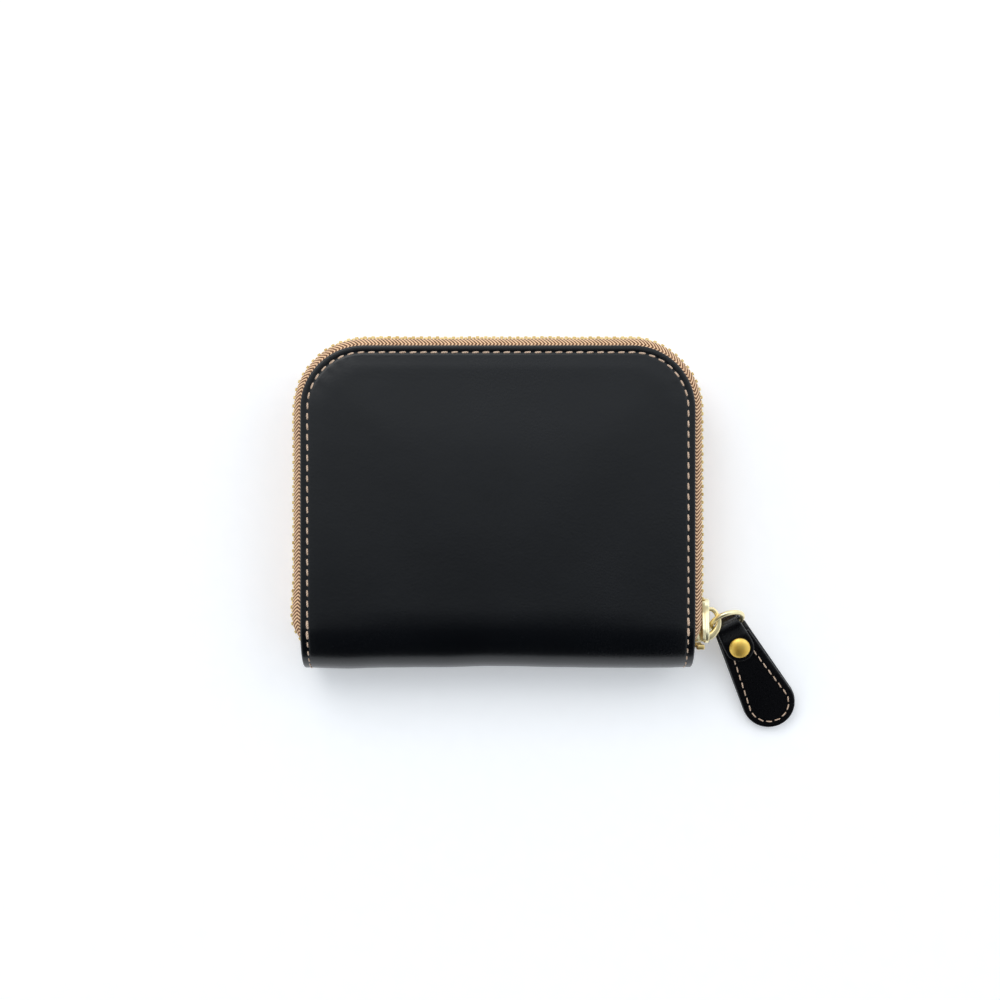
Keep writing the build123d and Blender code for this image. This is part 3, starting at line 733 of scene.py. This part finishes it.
def add_tooth(bm, centre, ahead, outward, side):
    """One brass tooth: a bevelled block with a narrow nib, pinched on the tape's edge."""
    flat_half = tooth_half_width - tooth_bevel
    rings = []
    for reach, shrink in (
        (-tooth_half_width, tooth_bevel_shrink),
        (-flat_half, 1.0),
        (flat_half, 1.0),
        (tooth_half_width, tooth_bevel_shrink),
    ):
        ring = []
        for out, tall in TOOTH:
            height = tooth_middle + (tall - tooth_middle) * mix(1.0, shrink, 0.6)
            spot = centre + ahead * reach + outward * (out * shrink) + Vector((0, 0, side * height))
            ring.append(bm.verts.new(spot))
        rings.append(ring)
    skin(bm, rings)


def zip_row(name, side, phase):
    """One row of teeth; the rows part inside the slider."""
    path = zip_path()
    total = line_length(path, False)
    cuts = 500
    stations = walk(spaced(path, 0.7, False), [total * k / cuts for k in range(cuts + 1)], False)
    outer = []
    for point, heading in stations:
        outward, out = zip_station(point, heading)
        outer.append(tuple(Vector((point.x, point.y, 0)) + outward * out))
    count = int(line_length(outer, False) / tooth_pitch)
    bm = bmesh.new()
    for point, heading in walk(outer, [(k + phase) * tooth_pitch for k in range(count - 1)], False):
        if point.y < chain_end_y - 0.5:
            continue
        ahead = Vector((heading.x, heading.y, 0)).normalized()
        outward = Vector((-ahead.y, ahead.x, 0))
        centre = Vector((point.x, point.y, mid_z + side * row_splay(point)))
        add_tooth(bm, centre, ahead, outward, side)
    made = object_from_bmesh(name, bm, brass_look)
    for polygon in made.data.polygons:
        polygon.use_smooth = False
    return made


for end, side in (("front", 1), ("back", -1)):
    fit(zip_tape(f"{end}_tape_cloth", side), end, "zip_tape", f"{end}_zip_tape")
for end, side, phase in (("front", 1, 0.25), ("back", -1, 0.75)):
    fit(zip_row(f"{end}_chain_teeth", side, phase), end, "zip_brass", f"{end}_zip_teeth")

# ---- slider: plates, side flanges and the wedge between the rows ----
nose = (slider_high.z - slider_low.z) / 2
tail = 3.15


def shield_outline():
    """Slider's outline in Y and Z about the chain, from a slim tail to a broad nose."""
    points = [(tail_y, -tail * 0.75), (tail_y, tail * 0.75), (tail_y - 1.3, tail)]
    points += [(splay_from_y + 0.8, tail * 1.02), (nose_y + 4.2, nose * 0.96), (nose_y + 2.4, nose)]
    points += [(nose_y + 0.9, nose * 0.9), (nose_y, nose * 0.62)]
    points += [(y, -z) for y, z in reversed(points[2:])]
    return spaced(rounded(points, 0.8), 0.5)


def rounding(start, corner, end, t):
    """Point at t, 0 to 1, of a short curve that cuts a corner."""
    return start * (1 - t) ** 2 + corner * (2 * t * (1 - t)) + end * t**2


def rounded(points, radius, count=4):
    """The closed line with each corner cut by a short curve."""
    result = []
    size = len(points)
    for index in range(size):
        corner = Vector(points[index])
        before = Vector(points[index - 1])
        after = Vector(points[(index + 1) % size])
        reach = min(radius, (before - corner).length * 0.45, (after - corner).length * 0.45)
        start = corner + (before - corner).normalized() * reach
        end = corner + (after - corner).normalized() * reach
        result += [tuple(rounding(start, corner, end, k / count)) for k in range(count + 1)]
    return result


def plate(name, outer_x, inner_x, dome):
    """One slider plate, from its outer face inward; dome swells its outer face."""
    thick = abs(outer_x - inner_x)
    sign = 1 if outer_x > inner_x else -1

    def place(y, z, depth):
        swell = dome * max(0.0, 1 - (z / 4.0) ** 2) * (1 - depth / thick)
        return Vector((outer_x - sign * depth + sign * swell, y, mid_z + z))

    return panel(name, shield_outline(), rounded_edge(thick, 0.42, 0.2), (1.0, 0.8), place, gold_look)


def slider_block(name, outline, start, away, edge, cuts):
    """A block of the slider, with its outline in Y and Z, from x = start outward (1) or inward (-1)."""

    def place(y, z, depth):
        return Vector((start + away * depth, y, mid_z + z))

    return panel(name, outline, edge, (cuts, cuts), place, gold_look)


def flange(name, side, outer):
    """Side wall of the slider between a plate and the slit for the tape."""
    middle = ((tail_y - 0.5, 2.78), (splay_from_y + 0.4, 2.84), (nose_y + 4.0, 4.22), (nose_y + 1.0, 4.36))
    half = 0.35
    line = [(y, z * side - half) for y, z in middle] + [(y, z * side + half) for y, z in reversed(middle)]
    outline = spaced(rounded(line, 0.3), 0.6)
    return slider_block(name, outline, wall_x + outer * 0.5, outer, rounded_edge(0.95, 0.15), 2.0)


wedge_outline = [(nose_y + 0.2, -0.7), (nose_y + 4.1, 0.0), (nose_y + 0.2, 0.7)]
wedge_outline = spaced(rounded(wedge_outline, 0.3), 0.5)
wedge_edge = rounded_edge(2 * chain_half, 0.1)
outer_plate = plate("slider_outer_plate", slider_high.x + 0.25, wall_x + chain_half, 0.22)
fit(outer_plate, "slider", "slider_brass", "slider_body")
fit(plate("slider_inner_plate", slider_low.x, wall_x - chain_half, 0.0), "slider", "slider_brass")
for side in (-1, 1):
    for outer in (-1, 1):
        fit(flange(f"slider_flange_{side + 1}{outer + 1}", side, outer), "slider", "slider_brass")
wedge = slider_block("slider_wedge", wedge_outline, wall_x + chain_half, -1, wedge_edge, 1.0)
fit(wedge, "slider", "slider_brass")


# ---- swept metal: crown arch, jump ring ----
def curve_through(points, count):
    """Smooth line through the given points (Catmull-Rom)."""
    line = [Vector(point) for point in points]
    line = [line[0] * 2 - line[1]] + line + [line[-1] * 2 - line[-2]]
    result = []
    for index in range(1, len(line) - 2):
        before, start, end, after = line[index - 1:index + 3]
        for k in range(count):
            t = k / count
            bend = (before * 2 - start * 5 + end * 4 - after) * t * t
            twist = (start * 3 - before - end * 3 + after) * t**3
            result.append((start * 2 + (end - before) * t + bend + twist) * 0.5)
    result.append(line[-2])
    return result


def crown_line(points):
    """One edge of the crown, from (height over the plate, distance from the nose) points."""
    return curve_through([(slider_high.x + x, nose_y + y, mid_z) for x, y in points], 8)


crown_outer = crown_line(
    [(0.1, 10.0), (2.0, 9.85), (3.4, 8.2), (4.1, 6.0), (3.8, 3.9), (2.8, 2.1), (1.7, 1.0), (-0.1, 0.3)]
)
crown_inner = crown_line(
    [(0.1, 8.9), (1.3, 8.8), (2.3, 7.6), (2.7, 6.0), (2.25, 4.5), (1.4, 3.4), (0.6, 2.8), (-0.1, 2.5)]
)
crown_half_width = Vector((0, 0, 1.1))
crown_path = [(outer + inner) / 2 for outer, inner in zip(crown_outer, crown_inner)]
crown_frames = [((outer - inner) / 2, crown_half_width) for outer, inner in zip(crown_outer, crown_inner)]
crown_section = rounded([(-1, -1), (1, -1), (1, 1), (-1, 1)], 0.55, 4)
crown = swept("slider_crown_arch", crown_path, crown_frames, crown_section, gold_look)
fit(crown, "slider", "slider_brass", "slider_crown")

ring_lean = radians(32.0)
ring_turn = radians(18.0)
ring_right = Vector((cos(ring_turn), sin(ring_turn), 0))
ring_up = Vector((-sin(ring_turn) * sin(ring_lean), cos(ring_turn) * sin(ring_lean), cos(ring_lean)))
ring_normal = ring_right.cross(ring_up)
ring_centre = (ring_low + ring_high) / 2 + ring_right * 0.2
ring_radius = 4.7
wire_radius = 0.7
ring_slit = 0.004  # half the cut where the ring closes, as a share of a turn
ring_cuts = 96
ring_points, ring_frames = [], []
for index in range(ring_cuts + 1):
    angle = radians(-80) + tau * (ring_slit + (1 - 2 * ring_slit) * index / ring_cuts)
    outward = ring_right * cos(angle) + ring_up * sin(angle)
    ring_points.append(ring_centre + outward * ring_radius)
    ring_frames.append((outward, ring_normal))
wire_section = arc((0, 0), wire_radius, 0, 342, 19)
ring = swept("jump_ring_wire", ring_points, ring_frames, wire_section, gold_look)
fit(ring, "ring", "slider_brass", "jump_ring")

# ---- pull: its own frame, x down the pull, y across it, z out of its face ----
pull_point = Vector(joints["pull_swing"]["pos_m"]) / MM
pull_across = Vector(joints["pull_swing"]["axis"]).normalized()
pull_turn = radians(61.5)
pull_heading = Vector((cos(pull_turn), -sin(pull_turn), 0))
pull_slope = atan2(pull_across.dot(pull_heading), pull_across.z)
pull_along = pull_heading * cos(pull_slope) - Vector((0, 0, sin(pull_slope)))
pull_normal = pull_along.cross(pull_across)
layer = 1.2  # one thickness of the pull's leather
half_stack = 1.5 * layer
bulb_x = 26.0  # middle of the paddle's round end
bulb_radius = 7.65
bulb_sweep = 98  # its arc, each way from the tip, in degrees
neck_half = 4.75
rivet_x = 6.9
flap_radius = 4.15
fold_half = 3.4
fold_mid = 2.5  # middle of the strap's thickness, from the tunnel's axis


def in_pull(x, y, z):
    return pull_point + pull_along * x + pull_across * y + pull_normal * z


# the strap's middle line, seen from its side: back layer, round the ring's tunnel, then the flap
strap_line = [(bulb_x + bulb_radius, -layer), (bulb_x, -layer), (18, -layer), (10, -layer)]
strap_line += [(6, -layer - 0.02), (3.6, -1.45), (1.7, -2.15), (0.0, -fold_mid), (-1.8, -1.75)]
strap_line += [(-fold_mid, 0.0), (-1.8, 1.75), (0.0, fold_mid), (1.8, 2.12), (3.8, 1.42)]
strap_line += [(6, layer + 0.02), (9, layer), (rivet_x + flap_radius + 0.3, layer)]
strap_curve = curve_through([(x, 0, z) for x, z in strap_line], 14)
strap_lengths = running_lengths(strap_curve)
strap_total = strap_lengths[-1]


def strap_at(distance):
    """Point and outward direction of the strap's middle line; the outer side turns away from the ring."""
    index, t = span_at(strap_lengths, min(max(distance, 0.0), strap_total))
    point = strap_curve[index].lerp(strap_curve[index + 1], t)
    before = strap_curve[max(0, index - 2)]
    after = strap_curve[min(len(strap_curve) - 1, index + 3)]
    ahead = (after - before).normalized()
    return point, Vector((ahead.z, 0, -ahead.x))


def strap_place(run, y, depth):
    point, out = strap_at(run)
    point = point - out * (layer / 2 - depth)
    return in_pull(point.x, y, point.z)


def fold_distance(index):
    return (strap_curve[index] - Vector((-fold_mid, 0, 0))).length


fold_run = strap_lengths[min(range(len(strap_curve)), key=fold_distance)]
flap_end = strap_total - 0.3
flap_centre = flap_end - flap_radius
# one side of the strap, from the paddle's neck over the fold to the flap
strap_side = [(fold_run - 5.6, neck_half), (fold_run - 3.6, fold_half + 0.5), (fold_run - 2.0, fold_half)]
strap_side += [(fold_run + 2.0, fold_half), (fold_run + 4.4, fold_half + 0.35)]
strap_side += [(flap_centre - 1.5, flap_radius)]
strap_outline = arc((bulb_radius, 0), bulb_radius, 180 - bulb_sweep, 2 * bulb_sweep, 44)
strap_outline += [(run, -y) for run, y in strap_side]
strap_outline += arc((flap_centre, 0), flap_radius, -90, 180, 24)
strap_outline += reversed(strap_side)
strap_outline = spaced(strap_outline, 0.6)
layer_edge = rounded_edge(layer, 0.32)
strap = panel("pull_strap_leather", strap_outline, layer_edge, (0.45, 1.6), strap_place, pull_look)
fit(strap, "pull", "pull_leather", "pull_strap")

trim = 0.15  # the face layer is cut this far inside the back one
paddle_half = neck_half - trim
paddle_outline = arc((bulb_x, 0), bulb_radius - trim, -bulb_sweep, 2 * bulb_sweep, 44)
paddle_outline += [(3.6, paddle_half), (3.4, paddle_half - 0.45)]
paddle_outline += [(3.4, 0.45 - paddle_half), (3.6, -paddle_half)]
paddle_outline = spaced(paddle_outline, 0.6)


def paddle_place(x, y, depth):
    crown = 0.12 * (1 - min(1.0, (y / 6.5) ** 2)) * smooth(10, 16, x)
    return in_pull(x, y, layer / 2 - depth + crown * (1 - depth / layer))


paddle = panel("pull_face_leather", paddle_outline, layer_edge, (1.2, 1.2), paddle_place, pull_look)
fit(paddle, "pull", "pull_leather", "pull_front_leather")

# ---- pull's seam and rivet ----
seam_neck = neck_half - 1.75
seam_start = rivet_x + 2.4
seam_bend = arc((bulb_x, 0), bulb_radius - seam_inset, -bulb_sweep, 2 * bulb_sweep, 44)
pull_line = [(seam_start, -seam_neck)] + seam_bend + [(seam_start, seam_neck)]
pull_stitch_count = 21
pull_bm = bmesh.new()
for index, (centre, heading) in enumerate(evenly(pull_line, pull_stitch_count, False)):
    turned = leaned(heading, -5.0 + 3.0 * noise.noise(Vector((index * 1.3, 2.0, 0.0))))
    add_stitch(pull_bm, paddle_place, centre, turned, 1.95, 0.2, 0.12)
pull_seam = object_from_bmesh("pull_seam_stitches", pull_bm, thread_look)
fit(pull_seam, "pull", "thread", "pull_stitching")


def turned_piece(name, profile):
    """A round rivet piece turned about the pull's normal; profile is (radius, height), foot to top."""
    bm = bmesh.new()
    sides = 48
    rings = []
    for radius, height in profile:
        ring = []
        for k in range(sides if radius > 1e-6 else 1):
            angle = tau * k / sides
            spot = in_pull(rivet_x + radius * cos(angle), radius * sin(angle), height)
            ring.append(bm.verts.new(spot))
        rings.append(ring)
    for first, second in zip(rings, rings[1:]):
        for k in range(sides):
            after = (k + 1) % sides
            if len(first) == 1:
                bm.faces.new((first[0], second[k], second[after]))
            elif len(second) == 1:
                bm.faces.new((first[k], first[after], second[0]))
            else:
                bm.faces.new((first[k], first[after], second[after], second[k]))
    return object_from_bmesh(name, bm, rivet_look)


cap_radius = 2.99
cap_rim = half_stack + 0.18
cap_dome = 1.05
dome_steps = 12
cap_foot = half_stack - 0.02
cap_profile = [(0, cap_foot), (2.7, cap_foot), (2.93, half_stack + 0.05), (cap_radius, cap_rim)]
for k in range(1, dome_steps):
    reach = cap_radius * cos(pi / 2 * k / dome_steps)
    cap_profile.append((reach, cap_rim + cap_dome * (1 - (reach / 3.0) ** 2) ** 0.62))
cap_profile.append((0, cap_rim + cap_dome))
fit(turned_piece("rivet_domed_cap", cap_profile), "pull", "rivet_brass", "rivet_cap")
stem_radius = 1.0
stem_top = half_stack + 0.3
foot_profile = [(0, -half_stack - 0.6), (2.3, -half_stack - 0.56), (2.8, -half_stack - 0.4)]
foot_profile += [(2.95, -half_stack - 0.15), (2.95, -half_stack), (stem_radius, -half_stack)]
foot_profile += [(stem_radius, stem_top), (0, stem_top)]
fit(turned_piece("rivet_foot_and_stem", foot_profile), "pull", "rivet_brass", "rivet_post")

# ---- inside: gussets, coin pocket, card slots, note pocket ----
gusset_low, gusset_high = box_mm("right_gusset")
gusset_half = 0.22  # half its thickness
gusset_strip = 2.5  # width of the strips sewn to the linings
gusset_reach = 10.5  # of its inward folds, from its outer edge
gusset_back = 3.0  # of its middle fold, from its outer edge


def gusset_sheet(name, side):
    """W-folded gusset with soft folds, sewn by its outer strips to both linings."""
    low = gusset_low.z + 0.25
    quarter_way = (low + mid_z) / 2
    edge = gusset_high.x
    lower = [(edge, low), (edge - gusset_strip, low), (edge - gusset_reach, quarter_way)]
    upper = [(x, 2 * mid_z - z) for x, z in reversed(lower)]
    corners = lower + [(edge - gusset_back, mid_z)] + upper
    line = [corners[0]]
    for before, corner, after in zip(corners, corners[1:], corners[2:]):
        corner = Vector(corner)
        start = corner.lerp(Vector(before), 0.16)
        end = corner.lerp(Vector(after), 0.16)
        line += [tuple(rounding(start, corner, end, t)) for t in (0, 0.25, 0.5, 0.75, 1)]
    line = spaced(line + [corners[-1]], 1.2, False)
    bm = bmesh.new()
    rings = []
    rows = 36
    for row in range(rows + 1):
        y = mix(gusset_low.y, gusset_high.y, row / rows)
        outer, inner = [], []
        for index, (x, z) in enumerate(line):
            before = Vector(line[max(0, index - 1)])
            after = Vector(line[min(len(line) - 1, index + 1)])
            run = (after - before).normalized() * gusset_half
            slack = 0.15 * noise.noise(Vector((y / 8.0, z / 4.0, 7.0)))
            outer.append((side * (x - run.y + slack), y, z + run.x))
            inner.append((side * (x + run.y + slack), y, z - run.x))
        rings.append([bm.verts.new(point) for point in outer + list(reversed(inner))])
    skin(bm, rings)
    return object_from_bmesh(name, bm, lining_look)


for end, side in (("left", -1), ("right", 1)):
    gusset = gusset_sheet(f"{end}_gusset_cloth", side)
    fit_between(gusset, gusset_low.z, gusset_high.z, "lining", f"{end}_gusset")

pocket_low, pocket_high = box_mm("coin_pocket_front")
pocket_sheet = 0.65
pinched = 0.7  # half height at the side seams


def rectangle(low_x, low_y, high_x, high_y):
    return [(low_x, low_y), (high_x, low_y), (high_x, high_y), (low_x, high_y)]


def pocket_leaf(name, side):
    """One leaf of the coin pocket, pinched flat at its side seams and slightly full between them."""
    full = pocket_high.z - mid_z
    half_width = pocket_high.x

    def place(x, y, depth):
        rise = smooth(half_width - 0.8, half_width - 10.1, abs(x))
        height = pinched + (full - pinched) * rise
        height += 0.12 * noise.noise(Vector((x / 12.0, y / 12.0, 4.0 * side))) * rise
        return Vector((x, y, mid_z + side * (height - depth)))

    outline = rectangle(-half_width, pocket_low.y, half_width, pocket_high.y)
    outline = spaced(rounded(outline, 1.0), 1.5)
    return panel(name, outline, rounded_edge(pocket_sheet, 0.18), (1.5, 4.0), place, lining_look)


for end, side in (("front", 1), ("back", -1)):
    leaf = pocket_leaf(f"coin_pocket_{end}_leaf", side)
    fit(leaf, "coin_pocket", "lining", f"coin_pocket_{end}")


def flat_panel(name, node, outward, notch=0.0):
    """A flat sewn panel in the place of a CAD node, with soft edges and an optional thumb notch."""
    low, high = box_mm(node)
    outline = rectangle(low.x, low.y, high.x, high.y)
    if notch:
        outline = rounded(outline[:3], 1.2) + arc((0, high.y), notch, 0, -180, 20) + outline[3:]
    else:
        outline = rounded(outline, 1.2)
    top = high.z if outward > 0 else low.z

    def place(x, y, depth):
        wave = 0.05 * noise.noise(Vector((x / 10.0, y / 10.0, low.z)))
        return Vector((x, y, top - outward * depth + wave))

    edge = rounded_edge((high.z - low.z) * 0.96, 0.12)
    return panel(name, spaced(outline, 1.5), edge, (5.0, 5.0), place, lining_look)


def edge_seam(name, node, facing):
    """A row of stitches round the sides and foot of a sewn panel."""
    inset = 1.4
    low, high = box_mm(node)
    top = high.y - 1.5
    corners = rectangle(low.x + inset, low.y + inset, high.x - inset, top)
    line = corners[3:] + corners[:3]
    face_z = low.z if facing < 0 else high.z

    def place(x, y, depth):
        return Vector((x, y, face_z - facing * depth))

    bm = bmesh.new()
    for centre, heading in evenly(line, int(line_length(line, False) / seam_pitch), False):
        add_stitch(bm, place, centre, heading, 1.9, 0.17, 0.1)
    return object_from_bmesh(name, bm, thread_look)


for number in (1, 2, 3):
    slot_panel = flat_panel(f"card_slot_panel_{number}", f"card_slot_{number}", -1)
    fit(slot_panel, "front", "lining", f"card_slot_{number}")
fit(flat_panel("note_pocket_panel", "note_pocket", 1, notch=9.0), "back", "lining", "note_pocket")
fit(edge_seam("card_slot_seam", "card_slot_3", -1), "front", "thread")
fit(edge_seam("note_pocket_seam", "note_pocket", 1), "back", "thread")


def pocket_base():
    """The strip that closes the coin pocket's foot, pointed at both ends."""
    low, high = box_mm("coin_pocket_base")
    half = (high.z - low.z) / 2 - 0.05
    tip_x = high.x - 0.2
    bend_x = pocket_high.x - 10.0
    outline = [(-tip_x, 0.0), (-bend_x, -half), (bend_x, -half)]
    outline += [(tip_x, 0.0), (bend_x, half), (-bend_x, half)]

    def place(x, z, depth):
        return Vector((x, low.y + depth, mid_z + z))

    edge = rounded_edge(pocket_sheet, 0.1)
    return panel("coin_pocket_base_cloth", spaced(outline, 1.5), edge, (6.0, 2.0), place, lining_look)


def pocket_binding(name, side):
    """Leather strip over the mouth of one pocket leaf."""
    low, high = box_mm("coin_pocket_binding")
    outline = rounded(rectangle(low.x, low.y, high.x, high.y + 0.3), 0.8)

    def place(x, y, depth):
        return Vector((x, y, mid_z + side * (high.z - mid_z - depth + 0.04)))

    return panel(name, spaced(outline, 1.5), rounded_edge(0.34, 0.12), (5.0, 2.0), place, pull_look)


fit(pocket_base(), "coin_pocket", "lining", "coin_pocket_base")
back_binding = pocket_binding("coin_pocket_binding_back", -1)
fit(back_binding, "coin_pocket", "binding_leather", "coin_pocket_binding")
fit(pocket_binding("coin_pocket_binding_front", 1), "coin_pocket", "binding_leather")

# ---- block that joins the two rows where the chain begins, tucked in beside the fold ----
stop_run = 2.2  # from the zip's left end
stop_point, stop_heading = walk(zip_path(), [stop_run], False)[0]
stop_outward, stop_out = zip_station(stop_point, stop_heading)
stop_centre = Vector((stop_point.x, stop_point.y, mid_z)) + stop_outward * stop_out


def small_block(name, centre, half):
    """A little pressed block with rounded corners and bevelled ends, half its size each way from centre."""
    bm = bmesh.new()
    rings = []
    corners = rounded(rectangle(-half.x, -half.z, half.x, half.z), 0.3, 3)
    for reach, shrink in ((-1.0, 0.8), (-0.8, 0.97), (-0.55, 1.0), (0.55, 1.0), (0.8, 0.97), (1.0, 0.8)):
        ring = []
        for x, z in corners:
            ring.append(bm.verts.new(centre + Vector((x * shrink, reach * half.y, z * shrink))))
        rings.append(ring)
    skin(bm, rings)
    return object_from_bmesh(name, bm, brass_look)


start_block = small_block("zip_start_block", stop_centre, Vector((1.1, 0.7, 1.27)))
fit(start_block, "back", "zip_brass", "zip_start_stop")
for end in ("front", "back"):
    low, high = box_mm(f"{end}_end_stop")
    end_block = small_block(f"{end}_end_block", (low + high) / 2, (high - low) / 2)
    fit(end_block, end, "zip_brass", f"{end}_end_stop")

# ---- CAD pieces that stay, with their own materials ----
for node in ("front_board", "back_board"):
    data = frame["nodes"][node].data
    data.materials.clear()
    data.materials.append(board_look)

# ---- stage: pale floor, soft light, camera straight above ----
floor_look = Shader("floor_paper", (0.90, 0.90, 0.905), 0.8)
weft = floor_look.noise(260.0, 2.0)
floor_look.colour(weft, (0.3, (0.885, 0.885, 0.89)), (0.7, (0.91, 0.91, 0.915)))
floor_look.bump(weft, 0.0001, 0.15)
floor_look.set(Specular_IOR_Level=0.2, Emission_Color=(0.97, 0.98, 1.0, 1), Emission_Strength=0.24)
floor_bm = bmesh.new()
bmesh.ops.create_grid(floor_bm, x_segments=8, y_segments=8, size=1600.0)
floor = object_from_bmesh("floor", floor_bm, floor_look.material)
floor.location.z = -0.00006  # just clear of the resting cover


def area_light(name, place, size, power, colour):
    """A square light that shines on the purse's middle."""
    light = bpy.data.lights.new(name, "AREA")
    light.size = size
    light.energy = power
    light.color = colour
    lamp = bpy.data.objects.new(name, light)
    lamp.location = place
    lamp.rotation_euler = (-Vector(place)).to_track_quat("-Z", "Y").to_euler()
    bpy.context.scene.collection.objects.link(lamp)


area_light("window", (-0.42, 0.85, 1.20), 0.9, 6.5, (1.0, 0.99, 0.98))
area_light("room", (0.95, 0.60, 1.05), 0.8, 2.0, (0.98, 0.99, 1.0))

# the room is bright but for a dim patch low on the near side
world = bpy.data.worlds.new("studio")
bpy.context.scene.world = world
world.use_nodes = True
sky = world.node_tree
direction = sky.nodes.new("ShaderNodeTexCoord")
parts = sky.nodes.new("ShaderNodeSeparateXYZ")
sky.links.new(direction.outputs["Generated"], parts.inputs["Vector"])


def sky_range(source, start, end, strength):
    shade = sky.nodes.new("ShaderNodeMapRange")
    shade.interpolation_type = "SMOOTHSTEP"
    for key, value in (("From Min", start), ("From Max", end), ("To Min", 0.0), ("To Max", strength)):
        shade.inputs[key].default_value = value
    sky.links.new(source, shade.inputs["Value"])
    return shade.outputs["Result"]


def sky_math(operation, *sources):
    made = sky.nodes.new("ShaderNodeMath")
    made.operation = operation
    for index, source in enumerate(sources):
        sky.links.new(source, made.inputs[index])
    return made.outputs["Value"]


far_side = sky_range(parts.outputs["Y"], -0.22, 0.20, 1.0)
both_sides = sky_range(sky_math("ABSOLUTE", parts.outputs["X"]), 0.20, 0.60, 0.95)
sky.links.new(sky_math("MAXIMUM", far_side, both_sides), sky.nodes["Background"].inputs["Strength"])
sky.nodes["Background"].inputs["Color"].default_value = (0.87, 0.935, 1.0, 1)

camera_data = bpy.data.cameras.new("camera")
camera_data.lens = 55.9
camera_data.sensor_width = 36.0
camera_data.clip_start = 0.01
camera = bpy.data.objects.new("camera", camera_data)
camera.location = (0.0006, 0.0023, MM * thickness + 0.430)
bpy.context.scene.collection.objects.link(camera)
bpy.context.scene.camera = camera
bpy.context.scene.view_settings.view_transform = "Standard"
